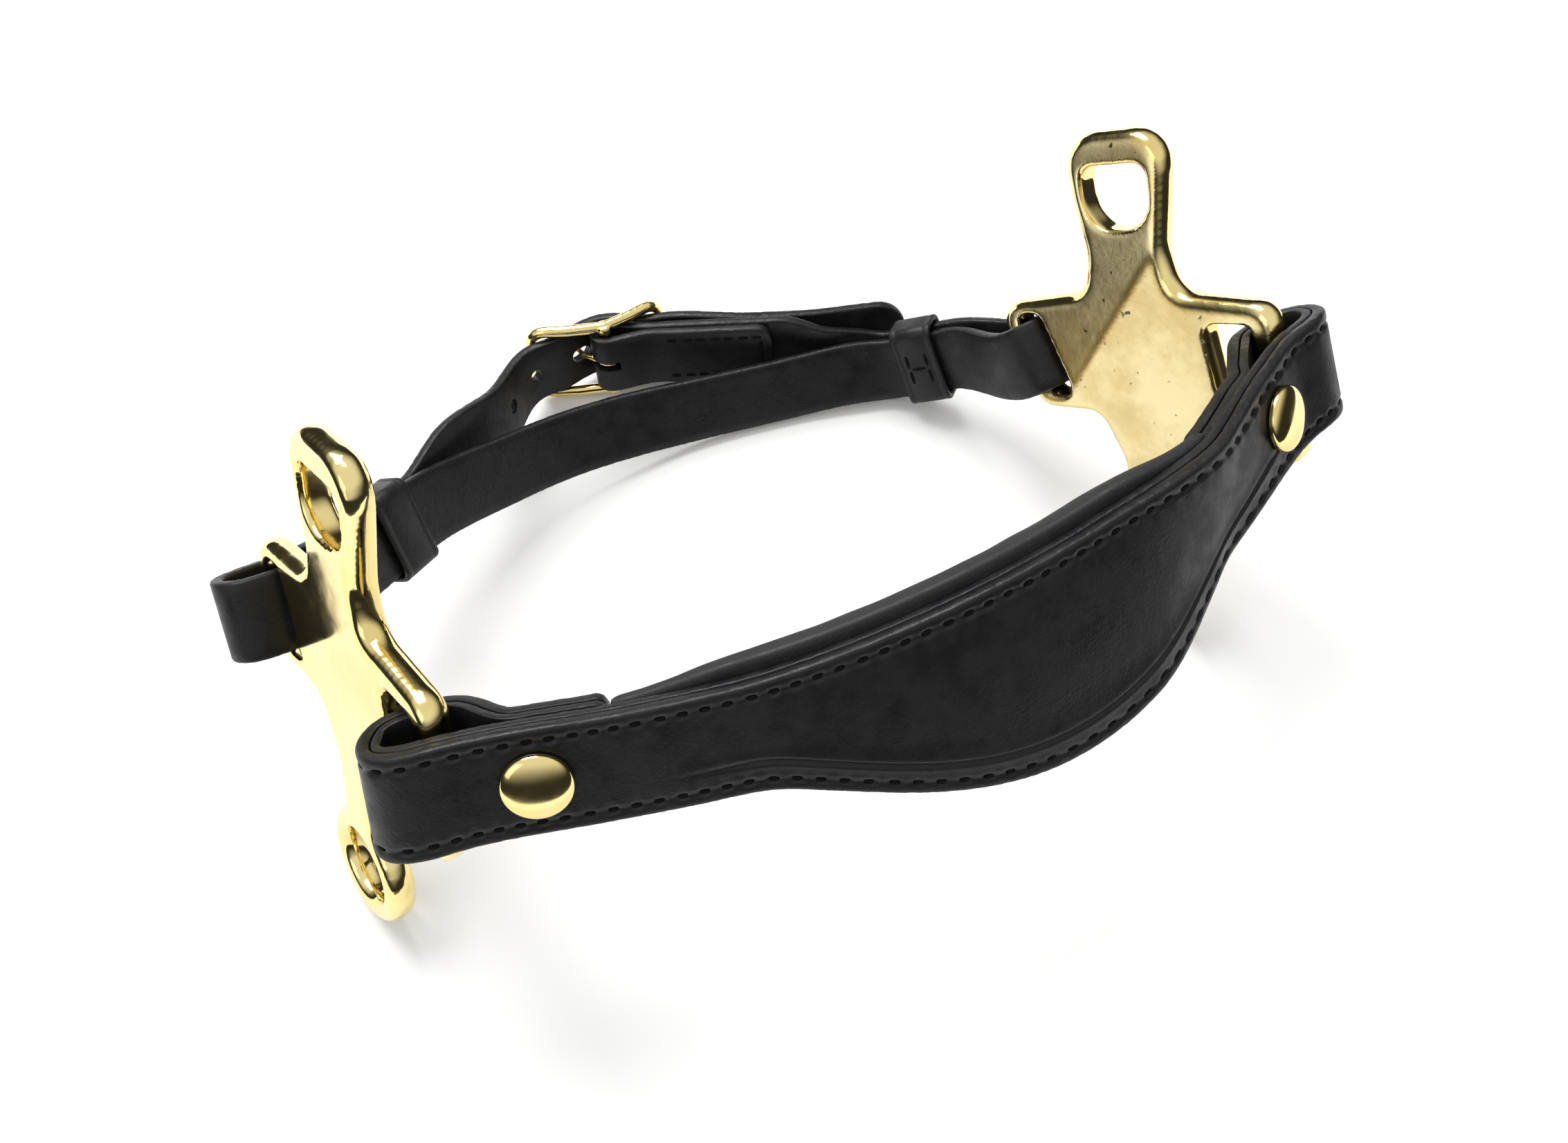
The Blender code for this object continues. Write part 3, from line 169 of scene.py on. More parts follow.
def loopRows(bar, along, out, radius, reach, enter, wraps=(0, 0)):
    # points round a bar: in beside it, beyond it and back on its other side
    out = (out - along * out.dot(along)).normalized()
    side = out.cross(along) * enter * radius
    first, last = [side * cos(wrap) - out * radius * sin(wrap) for wrap in wraps]
    rows = [bar + first]
    for step in range(5):
        turn = pi / 4 * step
        rows.append(bar + out * (reach + radius * sin(turn)) + side * cos(turn))
    rows.append(bar + last - side * 2 * cos(wraps[1]))
    return [(*row, *along) for row in rows]


def barRadius(clearance, leathers):
    edge = harness["plateEdge"]
    corner = hypot(harness["barWidth"] / 2 - edge, harness["plateThickness"] / 2 - edge)
    return corner + edge + clearance + leathers


def layoutToWorld():
    # the hinges of both plates say where the front bars are on the table
    def triad(start, end, side):
        first = (end - start).normalized()
        second = (side - first * side.dot(first)).normalized()
        return Matrix((first, second, first.cross(second))).transposed()

    left, right = joints["left_plate_swing"], joints["right_plate_swing"]
    here = triad(leftPlate["frontBar"], rightPlate["frontBar"], leftPlate["frontAlong"])
    there = triad(Vector(left["pos_m"]), Vector(right["pos_m"]), Vector(left["axis"]))
    turn = there @ here.transposed()
    shift = Vector(left["pos_m"]) - turn @ leftPlate["frontBar"]
    return Matrix.Translation(shift) @ turn.to_4x4()


# Noseband

noseband = {
    "width": 0.0254,
    "swellUp": 0.0034,
    "swellDown": 0.0204,
    "swellShare": 0.62,
    "swellMiddle": 0.18,
    "swellPower": 0.65,
    "front": 0.0028,  # thickness of the leather that shows
    "backing": 0.0021,
    "base": 0.0030,
    "bulge": 0.0298,
    "bulgeShare": 0.087,
    "lean": radians(20),
    "tip": radians(19),
    "loopClearance": 0.0012,
    "loopReach": (0.0075, 0.0045),
    "loopBack": 0.0018,
    "loopTilt": radians(15),
    "loopWrap": (radians(28), radians(40)),
    "foldClearance": 0.0005,
    "foldLength": 0.0350,
    "rivetInset": (0.0187, 0.0142),
    "parting": 0.0026,
    "capRadius": 0.0076,
    "corner": 0.0024,
    "bow": 0.0050,  # of the right half, with the shares at which it rises and ends
    "bowWay": (-0.45, -0.35, 0.82),
    "bowRise": (0.15, 0.75),
    "bowEnd": (0.97, 0.75),
    "twist": radians(11),
    "twistRise": (0.35, 0.70),
    "twistEnd": (0.89, 1.01),
    "twistKept": 0.3,
    "crown": 0.0009,  # how far the padding pushes the leathers out
    "stitch": (0.0023, 0.0013, 0.0006),  # length, width and height
    "stitchInset": 0.0030,
    "stitchPitch": 0.0047,
    "stitchSink": 0.00025,
    "stitchAhead": 0.0015,  # over which a stitch finds its way
    "groove": 0.00022,
    "pit": 0.0005,  # where the thread goes down through the leather
    "crease": 0.0078,  # from the lower edge to the pressed line
    "creaseDepth": 0.0004,
}


def noseRows():
    along, forward, upward = noseAxes()
    half = harness["barSpan"] / 2
    backing, gap = noseband["backing"], harness["touchGap"]
    radius = barRadius(noseband["loopClearance"], backing + gap / 2)
    apart = 2 * backing + gap + noseband["foldClearance"]
    insets = noseband["rivetInset"]
    rivets = (insets[0] / half - 1, 1 - insets[1] / half)
    foldShare = 1 - noseband["foldLength"] / half
    tilt = forward * sin(noseband["loopTilt"])
    level = along * cos(noseband["loopTilt"])
    plates = (leftPlate, rightPlate)
    outs = (-level - tilt, level - tilt)
    bars = [plate["frontAlong"] for plate in plates]
    bars = [(bar - out * out.dot(bar)).normalized() for out, bar in zip(outs, bars)]

    def run(share):
        bulgeShare = noseband["bulgeShare"]
        aside = (share - bulgeShare) / (1 - bulgeShare * share)
        bulge = noseband["base"] + noseband["bulge"] * cos(pi / 2 * aside)
        reach = abs(rivets[share > 0]) - noseband["capRadius"] / half - foldShare
        across = upward.lerp(bars[share > 0], blend((abs(share) - foldShare) / reach))
        return (*(along * half * share + forward * bulge), *across.normalized())

    def swell(share):
        away = min(abs(share - noseband["swellMiddle"]) / noseband["swellShare"], 1)
        return max((1 + cos(pi * away)) / 2, 0) ** noseband["swellPower"]

    def loop(side):
        wraps = [0, 0]
        wraps[side] = noseband["loopWrap"][side]
        centre = plates[side]["frontLoop"] - outs[side] * noseband["loopBack"]
        reach = noseband["loopReach"][side]
        rows = loopRows(centre, bars[side], outs[side], radius, reach, 1, wraps)
        return [(*row[:3], *plates[side]["frontAlong"], 0) for row in rows]

    rows = loop(0)
    for step in range(2, 23):
        share = rivets[0] + (rivets[1] - rivets[0]) * step / 24
        rows.append((*run(share), swell(share)))
    rows += loop(1)
    outer = Course(smoothLine(rows, harness["coarse"]))

    def behind(side):
        # the folded part, behind the outer run
        rivetShare = abs(rivets[side > 0])
        shares = [foldShare + (rivetShare - foldShare) * step / 4 for step in range(5)]
        found = []
        for share in shares + [rivetShare + noseband["parting"] / half]:
            index = outer.nearest(run(side * share)[:3])
            place = outer.middle[index] - outer.outward[index] * apart
            found.append((*place, *outer.across[index], 0))
        return found

    return behind(-1) + rows + behind(1)[::-1]


leftPlate = hangPlate(harness["leftTurn"], -1)
rightPlate = hangPlate(harness["rightTurn"], 1)
toWorld = layoutToWorld()
noseCourse = Course(smoothLine(noseRows(), harness["fine"])).moved(toWorld)
noseAlong = np.array(toWorld.to_3x3() @ noseAxes()[0])
noseMiddle = np.array(toWorld.translation)


def between(value, ends):
    return blend((value - ends[0]) / (ends[1] - ends[0]))


def noseShares(course):
    return (course.middle - noseMiddle) @ noseAlong / (harness["barSpan"] / 2)


def turnedBack(course):
    # the right part of the band bows up before it turns back to its bar, and twists on the way
    samples = course.samples()
    bow = np.array(toWorld.to_3x3() @ Vector(noseband["bowWay"]).normalized()) * noseband["bow"]
    for index, share in enumerate(noseShares(course)):
        lift = between(share, noseband["bowRise"]) * between(share, noseband["bowEnd"])
        samples[index, :3] += bow * lift
        back = (1 - noseband["twistKept"]) * between(share, noseband["twistEnd"])
        twist = noseband["twist"] * between(share, noseband["twistRise"]) * (1 - back)
        if twist:
            turn = Matrix.Rotation(twist, 3, Vector(noseAlong))
            samples[index, 3:6] = turn @ Vector(samples[index, 3:6])
    return Course(samples)


noseCourse = turnedBack(noseCourse)
noseShare = noseShares(noseCourse)
print("noseband course laid out:", noseCourse.count, "samples")


# Chin strap, in shares of the line between the rear bars: along it, outwards, down and lean

chin = {
    "width": 0.0198,
    "thickness": 0.0030,
    "clearance": (0.0006, 0.0014),
    "reach": (0.0092, 0.0004),
    "inner": (
        (0.930, 0.0845, 0.0925, 0.31),
        (0.909, 0.098, 0.108, 0.30),
        (0.888, 0.112, 0.123, 0.30),
        (0.867, 0.126, 0.138, 0.32),
        (0.810, 0.147, 0.149, 0.36),
        (0.739, 0.160, 0.157, 0.34),
        (0.667, 0.170, 0.163, 0.33),
        (0.565, 0.182, 0.167, 0.34),
        (0.463, 0.187, 0.163, 0.38),
        (0.361, 0.177, 0.150, 0.37),
        (0.261, 0.146, 0.122, 0.38),
        (0.185, 0.111, 0.089, 0.42),
    ),
    "middle": ((0.768, 0.195, 0.141, 0.22), (0.812, 0.171, 0.145, 0.33)),
    "outerLeft": ((0.230, 0.185, 0.102, 0.30), (0.308, 0.246, 0.136, 0.20)),
    "outerRight": (
        (0.669, 0.264, 0.145, 0.13),
        (0.729, 0.242, 0.145, 0.16),
        (0.787, 0.222, 0.142, 0.18),
        (0.837, 0.208, 0.138, 0.19),
        (0.877, 0.196, 0.134, 0.20),
        (0.911, 0.186, 0.130, 0.20),
    ),
    "keeperShare": (0.092, 0.899),
    "layerShift": 0.0010,
    "ease": 0.0005,
    "tip": 0.0090,
    "corner": 0.0045,
    "chape": 0.0470,
    "chapeSlope": radians(19.4),
    "stitch": (0.0030, 0.0010, 0.0007),  # of the sewn end
    "stitchPitch": 0.0042,
    "stitchInset": 0.0030,
    "stitchStart": 0.0045,
    "stitchShare": 0.72,
}
keeper = {
    "width": 0.0130,
    "thickness": 0.0016,
    "clearance": 0.0008,
    "corner": 0.0022,
    "soft": 0.0005,
    "crease": (0.0016, 0.0020, 0.0024),
    "creaseDepth": 0.00015,
    "stitch": (0.0046, 0.0011, 0.0007),
    "stitchPlace": (0.0030, 0.0027),
}
buckle = {
    "shares": (0.484, 0.303, 0.152, 0.13),
    "tilt": radians(3),
    "wire": 0.0015,
    "left": 0.0215,
    "right": 0.0180,
    "bend": radians(20),
    "corner": 0.0045,
    "clearance": 0.0008,
    "tongueReach": 0.0076,
    "tongueSlot": 0.0030,
    "holePitch": 0.0160,
    "holeRadius": 0.0022,
    "wornRadius": 0.0024,  # the hole in use
    "drawn": 0.0009,
}
rearSpan = rightPlate["rearBar"] - leftPlate["rearBar"]
chinOut = axisZ.cross(rearSpan).normalized()
layerPitch = chin["thickness"] + harness["touchGap"]
foldRadius = buckle["wire"] + harness["touchGap"] + chin["thickness"] / 2


def chinPlace(shares):
    along, outward, drop, lean = shares
    reach = rearSpan.length
    where = leftPlate["rearBar"] + rearSpan * along + chinOut * reach * outward - axisZ * reach * drop
    return where, lean * pi / 2


def chinRow(shares):
    where, lean = chinPlace(shares)
    return (*where, *(axisZ * cos(lean) + chinOut * sin(lean)))


def buckleAxes():
    middle, lean = chinPlace(buckle["shares"])
    right = axisX * cos(buckle["tilt"]) - axisZ * sin(buckle["tilt"])
    up = axisZ * cos(lean) + axisY * sin(lean)
    out = up.cross(right).normalized()
    return middle, right, out, right.cross(out)


def buckleRow(right, out):
    middle, rightAxis, outAxis, up = buckleAxes()
    return (*(middle + rightAxis * right + outAxis * out), *up)


def frameBend(right):
    return tan(buckle["bend"]) * (hypot(right, buckle["corner"]) - buckle["corner"])


def billetDepth(right):
    beside = buckle["wire"] + buckle["clearance"] + chin["thickness"] / 2
    over = foldRadius + chin["thickness"] + 2 * buckle["clearance"]
    reach = buckle["left"] if right < 0 else buckle["right"]
    return over + (frameBend(reach) - beside - over) * blend(abs(right) / reach)


def keeperTarget(share):
    shares, *columns = zip(*sorted(chin["inner"]))
    return (share, *[np.interp(share, shares, column) for column in columns])


def chinRows():
    def loop(side, plate, nearest):
        radius = barRadius(chin["clearance"][side], chin["thickness"] / 2)
        out = plate["rearBar"] - chinPlace(nearest)[0]
        return loopRows(plate["rearLoop"], plate["rearAlong"], out, radius, chin["reach"][side], -1)

    leftLoop = loop(0, leftPlate, chin["inner"][-1])
    rightLoop = loop(1, rightPlate, chin["inner"][0])
    innerRows = [chinRow(shares) for shares in chin["inner"]]
    inner = Course(smoothLine(rightLoop + innerRows + leftLoop, harness["coarse"]))

    def keeperRows(share, shift):
        index = inner.nearest(chinPlace(keeperTarget(share))[0])
        found = []
        for step in (0.9, 0.3, -0.3, -0.9):
            at = inner.after(index, step * keeper["width"])
            where = inner.point(at, layerPitch + chin["ease"] * abs(step), shift)
            found.append((*where, *inner.across[at]))
        return found

    slope = tan(chin["chapeSlope"])

    def chapeRow(share, under):
        right = chin["chape"] * share
        return buckleRow(right, foldRadius - slope * right - under)

    turns = [pi / 4 * step for step in range(5)]
    pitch = layerPitch / cos(chin["chapeSlope"])
    rows = [chapeRow(share, pitch) for share in (1, 0.8, 0.6, 0.4, 0.25)]
    rows += [buckleRow(-foldRadius * sin(turn), -foldRadius * cos(turn)) for turn in turns]
    rows += [chapeRow(share, 0) for share in (0.25, 0.4, 0.6, 0.8, 1, 1.08)]
    rows += [chinRow(shares) for shares in chin["middle"]]
    rows += keeperRows(chin["keeperShare"][1], chin["layerShift"])
    rows += rightLoop + innerRows + leftLoop
    rows += keeperRows(chin["keeperShare"][0], 0)
    rows += [chinRow(shares) for shares in chin["outerLeft"]]
    for step in np.linspace(-1, 1, 9):
        right = step * (buckle["right"] if step > 0 else buckle["left"])
        rows.append(buckleRow(right, billetDepth(right)))
    return rows + [chinRow(shares) for shares in chin["outerRight"]]


chinCourse = Course(smoothLine(chinRows(), harness["fine"])).moved(toWorld)
print("chin strap course laid out:", chinCourse.count, "samples")


# Making pieces


def selectOnly(piece):
    bpy.ops.object.select_all(action="DESELECT")
    piece.select_set(True)
    bpy.context.view_layer.objects.active = piece


def startPiece(name, addPrimitive, **values):
    bpy.ops.object.select_all(action="DESELECT")
    addPrimitive(**values)
    piece = bpy.context.object
    piece.name = piece.data.name = name
    return piece


def linkPiece(name, data):
    piece = bpy.data.objects.new(name, data)
    bpy.context.scene.collection.objects.link(piece)
    return piece


def applyModifiers(piece, *modifiers):
    for kind, values in modifiers:
        modifier = piece.modifiers.new(kind.lower(), kind)
        for key, value in values.items():
            setattr(modifier, key, value)
    selectOnly(piece)
    for modifier in list(piece.modifiers):
        bpy.ops.object.modifier_apply(modifier=modifier.name)


def inEditMode(piece, *steps):
    selectOnly(piece)
    bpy.ops.object.mode_set(mode="EDIT")
    bpy.ops.mesh.select_all(action="SELECT")
    for step in steps:
        step()
    bpy.ops.object.mode_set(mode="OBJECT")


def smoothShade(piece, angle=50):
    selectOnly(piece)
    bpy.ops.object.shade_smooth_by_angle(angle=radians(angle), keep_sharp_edges=False)


def finishPiece(piece, body, node, *materials):
    piece.data.materials.clear()
    for material in materials:
        piece.data.materials.append(material)
    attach(piece, body)
    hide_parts(node)
    print(piece.name, "made:", len(piece.data.polygons), "faces")


def gridPiece(name, rings, closedAlong=False):
    # a grid wrapped into a tube, one row of it for each ring
    rings = rings + rings[:1] if closedAlong else rings
    grid = {"x_subdivisions": len(rings[0]), "y_subdivisions": len(rings) - 1, "size": 1}
    piece = startPiece(name, bpy.ops.mesh.primitive_grid_add, **grid)
    places = np.array([[*ring, ring[0]] for ring in rings], np.float32)
    piece.data.vertices.foreach_set("co", places.ravel())
    inEditMode(
        piece,
        lambda: bpy.ops.mesh.remove_doubles(threshold=0.000002),
        lambda: bpy.ops.mesh.fill_holes(sides=0),
        lambda: bpy.ops.mesh.normals_make_consistent(inside=False),
    )
    return piece


def markColumns(piece, flags):
    # the second material on the columns of a grid piece that are cut edges, and on its ends
    around = len(flags)
    layer = piece.data.uv_layers.active.data
    for face in piece.data.polygons:
        across = np.mean([layer[loop].uv[0] for loop in face.loop_indices])
        column = min(int(across * around), around - 1)
        edge = flags[column] and flags[(column + 1) % around]
        face.material_index = int(edge or len(face.vertices) > 4)


# how rough the leather is in its shape
roughness = {"size": 900, "edge": 0.00012, "face": 0.00003, "keeper": 0.0001}


def roughened(place, size, depth):
    return noise.noise(Vector(place) * size) * depth


def edgePoints(low, high, edge, side, soft=0.0009, inner=0.0002):
    # round a cut edge, from the inner face to the outer one: (outward, across, is the edge)
    return [
        (low, edge - side * inner, True),
        (low + inner * 0.3, edge - side * inner * 0.3, True),
        (low + inner, edge, True),
        ((low + high) / 2, edge + side * 0.0001, True),
        (high - soft, edge, True),
        (high - soft * 0.62, edge - side * soft * 0.08, True),
        (high - soft * 0.29, edge - side * soft * 0.29, True),
        (high - soft * 0.08, edge - side * soft * 0.62, False),
        (high, edge - side * soft * 1.1, False),
    ]


def stripRings(course, indices, section):
    rings = []
    for index in indices:
        ring = []
        for outward, across, edge in section(index):
            depth = roughness["edge" if edge else "face"]
            rough = roughened(course.point(index, outward, across), roughness["size"], depth)
            ring.append(course.point(index, outward + rough * (not edge), across + rough * edge))
        rings.append(ring)
    return rings


def strapPiece(name, course, section):
    piece = gridPiece(name, stripRings(course, range(course.count), section))
    markColumns(piece, [edge for _, _, edge in section(course.count // 2)])
    bevel = {"width": 0.0004, "segments": 2, "limit_method": "ANGLE", "angle_limit": radians(60)}
    applyModifiers(piece, ("BEVEL", bevel))
    smoothShade(piece)
    return piece


# Materials


class Shading:
    # the nodes of a material or world, with short ways to add and join them
    def __init__(self, made, shader="Principled BSDF", coordinates="Object"):
        made.use_nodes = True
        self.owner, self.tree = made, made.node_tree
        self.shader = self.tree.nodes[shader]
        self.place = self.add("TexCoord", {}, coordinates)

    def put(self, node, inputs):
        # each input is a number or colour to set, or a socket to join
        for key, value in inputs.items():
            if isinstance(value, bpy.types.NodeSocket):
                self.tree.links.new(value, node.inputs[key])
            else:
                node.inputs[key].default_value = value

    def add(self, kind, inputs, output=0, **values):
        node = self.tree.nodes.new("ShaderNode" + kind)
        for key, value in values.items():
            setattr(node, key, value)
        self.put(node, inputs)
        return node.outputs[output]

    def noise(self, scale, detail, rough, stretch=None, turn=None):
        place = self.place
        if stretch:
            place = self.add("Mapping", {"Vector": place, "Scale": stretch, "Rotation": turn})
        inputs = {"Scale": scale, "Detail": detail, "Roughness": rough, "Vector": place}
        return self.add("TexNoise", inputs, "Fac")

    def cells(self, scale, feature="F1"):
        inputs = {"Scale": scale, "Vector": self.place}
        return self.add("TexVoronoi", inputs, "Distance", feature=feature)

    def ranged(self, value, low, high, toLow=0, toHigh=1):
        inputs = {"Value": value, "From Min": low, "From Max": high, "To Min": toLow, "To Max": toHigh}
        return self.add("MapRange", inputs, interpolation_type="SMOOTHSTEP")

    def mixed(self, share, first, second):
        first, second = [(*end, 1) if isinstance(end, tuple) else end for end in (first, second)]
        return self.add("Mix", {0: share, 6: first, 7: second}, 2, data_type="RGBA")

    def math(self, operation, first, second):
        return self.add("Math", {0: first, 1: second}, operation=operation)

    def vectors(self, operation, inputs, output=0):
        return self.add("VectorMath", inputs, output, operation=operation)

    def sum(self, first, second, share=0.6):
        first, second = self.math("MULTIPLY", first, share), self.math("MULTIPLY", second, 1 - share)
        return self.math("ADD", first, second)

    def bump(self, height, strength, distance, before=None):
        inputs = {"Strength": strength, "Distance": distance, "Height": height}
        return self.add("Bump", {**inputs, "Normal": before} if before else inputs)

    def finish(self, colour, rough, normal, others={}):
        inputs = {"Base Color": colour, "Roughness": rough, "Normal": normal}
        self.put(self.shader, {**inputs, **others})
        return self.owner


def newMaterial(name):
    return Shading(bpy.data.materials.new(name))


leatherLook = {
    "deep": (0.0055, 0.0055, 0.0065),
    "worn": (0.0105, 0.0105, 0.0120),
    "edgeDeep": (0.030, 0.030, 0.031),
    "edgeWorn": (0.085, 0.085, 0.088),
    "fibre": (0.30, 0.30, 0.31),
    "softDeep": (0.012, 0.012, 0.013),
    "softWorn": (0.022, 0.022, 0.024),
    "threadDeep": (0.0010, 0.0010, 0.0012),
    "threadWorn": (0.0030, 0.0030, 0.0034),
    "foamDeep": (0.03, 0.03, 0.032),
    "foamPale": (0.06, 0.06, 0.063),
}


def leatherFace(name, deep, worn, gloss=(0.34, 0.52)):
    made = newMaterial(name)
    drift = made.ranged(made.noise(70, 4, 0.6), 0.35, 0.7)
    wrinkles = made.noise(260, 3, 0.55, (1, 0.35, 0.6), (0.3, 0.2, 0.5))
    fine = made.sum(made.cells(1500, "SMOOTH_F1"), made.noise(2600, 3, 0.6))
    colour = made.mixed(drift, deep, worn)
    colour = made.mixed(made.ranged(fine, 0.2, 0.6), colour, deep)
    rough = made.ranged(made.noise(140, 4, 0.6), 0.3, 0.7, *gloss)
    normal = made.bump(fine, 0.45, 0.00015, made.bump(wrinkles, 0.3, 0.0004))
    return made.finish(colour, rough, normal, {"Specular IOR Level": 0.35})


def leatherEdge(name):
    made = newMaterial(name)
    fibres = made.noise(900, 5, 0.7, (1, 1, 0.35), (0.2, 0.4, 0))
    both = made.sum(fibres, made.noise(3800, 2, 0.6))
    colour = made.mixed(made.ranged(both, 0.35, 0.65), leatherLook["edgeDeep"], leatherLook["edgeWorn"])
    colour = made.mixed(made.ranged(made.noise(2100, 2, 0.5), 0.66, 0.76), colour, leatherLook["fibre"])
    rough = made.ranged(fibres, 0.3, 0.7, 0.6, 0.8)
    return made.finish(colour, rough, made.bump(both, 0.8, 0.0004), {"Specular IOR Level": 0.4})


def waxedThread(name):
    made = newMaterial(name)
    twist = made.noise(2400, 2, 0.5, (1, 1, 0.3), (0.6, 0.3, 0.8))
    colour = made.mixed(made.ranged(twist, 0.3, 0.7), leatherLook["threadDeep"], leatherLook["threadWorn"])
    rough = made.ranged(twist, 0.3, 0.7, 0.7, 0.85)
    return made.finish(colour, rough, made.bump(twist, 0.5, 0.00015), {"Specular IOR Level": 0.15})


def foamLook(name):
    made = newMaterial(name)
    bubbles = made.cells(1800)
    colour = made.mixed(made.ranged(bubbles, 0.1, 0.6), leatherLook["foamDeep"], leatherLook["foamPale"])
    rough = made.ranged(bubbles, 0.1, 0.6, 0.8, 0.95)
    return made.finish(colour, rough, made.bump(bubbles, 0.8, 0.0004))


brassLook = {
    "bright": (0.93, 0.78, 0.36),
    "deep": (0.84, 0.66, 0.25),
    "castPale": (0.88, 0.76, 0.42),
    "castTan": (0.70, 0.55, 0.26),
    "pit": (0.10, 0.085, 0.05),
}

# where the neck's lean starts on the plate, which way it grows, over what length and how much
castLean = {"start": (0.0085, 0.0270), "way": (-0.79, 0.61), "blend": 0.0050, "tilt": 0.46}


def polishedBrass(name, castSide=False):
    made = newMaterial(name)
    drift = made.ranged(made.noise(45, 4, 0.55), 0.35, 0.7)
    colour = made.mixed(drift, brassLook["bright"], brassLook["deep"])
    rough = made.ranged(made.noise(160, 5, 0.65), 0.3, 0.75, 0.07, 0.16)
    scratches = made.noise(500, 4, 0.6, (1, 0.08, 0.25), (0.4, 0.9, 0.2))
    normal = made.bump(scratches, 0.04, 0.00005, made.bump(made.noise(75, 2, 0.4), 0.22, 0.0006))
    if castSide:
        cast = made.add("Attribute", {}, "Fac", attribute_name="castSide")
        blotches = made.ranged(made.noise(45, 5, 0.65), 0.38, 0.66)
        castColour = made.mixed(blotches, brassLook["castPale"], brassLook["castTan"])
        pits = made.ranged(made.noise(330, 2, 0.5), 0.70, 0.76)
        castColour = made.mixed(pits, castColour, brassLook["pit"])
        colour = made.mixed(cast, colour, castColour)
        castRough = made.ranged(made.noise(260, 5, 0.7), 0.3, 0.7, 0.10, 0.20)
        rough = made.add("Mix", {0: cast, 2: rough, 3: castRough})
        sand = made.math("MULTIPLY", made.noise(420, 6, 0.75), cast)
        normal = made.bump(sand, 0.22, 0.0004, normal)
        tilt = toWorld.to_3x3() @ axisZ * castLean["tilt"]
        lean = made.add("Attribute", {}, "Fac", attribute_name="lean")
        tilt = made.vectors("SCALE", {0: tilt, "Scale": lean})
        normal = made.vectors("NORMALIZE", {0: made.vectors("ADD", {0: normal, 1: tilt})})
    return made.finish(colour, rough, normal, {"Metallic": 1})


faceLeather = leatherFace("harnessLeatherFace", leatherLook["deep"], leatherLook["worn"])
softLeather = leatherFace("liningLeather", leatherLook["softDeep"], leatherLook["softWorn"], (0.45, 0.62))
cutEdge = leatherEdge("harnessLeatherEdge")
blackThread = waxedThread("blackWaxedThread")
castBrass = polishedBrass("castPlateBrass", True)
fittingBrass = polishedBrass("fittingBrass")
paddingFoam = foamLook("paddingFoam")
print("materials ready")


# Cheek plates, buckle and rivets

# size of the remesh's cells, rounds of smoothing, and the thickness given back
casting = {
    "plate": (0.00055, 26, 0.00004),
    "buckleFrame": (0.00026, 5, 0.00025),
    "buckleTongue": (0.00022, 3, 0.00002),
}


def refinedCopy(name, node, grain, rounds, regain):
    # the casting again, remeshed finely enough that its edges run into each other softly
    piece = linkPiece(name, frame["nodes"][node].data.copy())
    piece.data.name = name
    inEditMode(piece, lambda: bpy.ops.mesh.remove_doubles(threshold=0.00001))
    applyModifiers(
        piece,
        ("REMESH", {"mode": "VOXEL", "voxel_size": grain}),
        ("SMOOTH", {"factor": 0.5, "iterations": rounds}),
        ("DISPLACE", {"strength": regain, "mid_level": 0}),
    )
    bpy.ops.object.shade_smooth()
    return piece


def markCastSide(piece, inward, plate):
    # the inner face was left as cast, and its rims are polished; its neck leans out a little
    mesh = piece.data

    def read(values, key):
        found = np.zeros(len(mesh.vertices) * 3, np.float32)
        values.foreach_get(key, found)
        return found.reshape(-1, 3)

    def write(name, share):
        layer = mesh.attributes.new(name, "FLOAT", "POINT")
        layer.data.foreach_set("value", share.astype(np.float32))

    def eased(share):
        share = np.clip(share, 0, 1)
        return share * share * (3 - 2 * share)

    facing = read(mesh.vertex_normals, "vector") @ np.array(inward, np.float32)
    cast = (facing - 0.90) / 0.08
    write("castSide", eased(cast))
    axes, frontBar = np.array(toWorld.to_3x3() @ plate["axes"]), np.array(toWorld @ plate["frontBar"])
    local = (read(mesh.vertices, "co") - frontBar) @ axes
    forward, up = harness["frontBar"][0] - local[:, 1], harness["frontBar"][1] + local[:, 2]
    start, way = castLean["start"], castLean["way"]
    past = ((forward - start[0]) * way[0] + (up - start[1]) * way[1]) / castLean["blend"] + 0.5
    write("lean", eased(past) * np.clip(cast, 0, 1))


for side, plate, inward in (("left", leftPlate, 1), ("right", rightPlate, -1)):
    piece = refinedCopy(side + "CheekPlate", side + "_cheek_plate", *casting["plate"])
    markCastSide(piece, toWorld.to_3x3() @ plate["axes"] @ Vector((inward, 0, 0)), plate)
    finishPiece(piece, side + "_plate", side + "_cheek_plate", castBrass)
for part, body in (("Frame", "buckle"), ("Tongue", "tongue")):
    node = "buckle_" + part.lower()
    piece = refinedCopy("buckle" + part, node, *casting["buckle" + part])
    finishPiece(piece, body, node, fittingBrass)

rivet = {
    "capRise": 0.0026,
    "capRim": 0.0007,
    "clearance": 0.0006,
    "backRadius": 0.0040,
    "backThickness": 0.0010,
    "postRadius": 0.0020,
    "edge": 0.0003,
}

rivetFace = harness["touchGap"] / 2 + noseband["front"] + rivet["clearance"]
rivetBack = -2 * noseband["backing"] - harness["touchGap"] - noseband["foldClearance"] - rivetFace


def outerRun():
    # the first and last sample of the run between the loops
    low = high = noseCourse.count // 2
    while noseShare[low - 1] < noseShare[low]:
        low -= 1
    while noseShare[high + 1] > noseShare[high]:
        high += 1
    return low, high


runLow, runHigh = outerRun()


def atShare(share):
    return runLow + int(np.argmin(abs(noseShare[runLow : runHigh + 1] - share)))


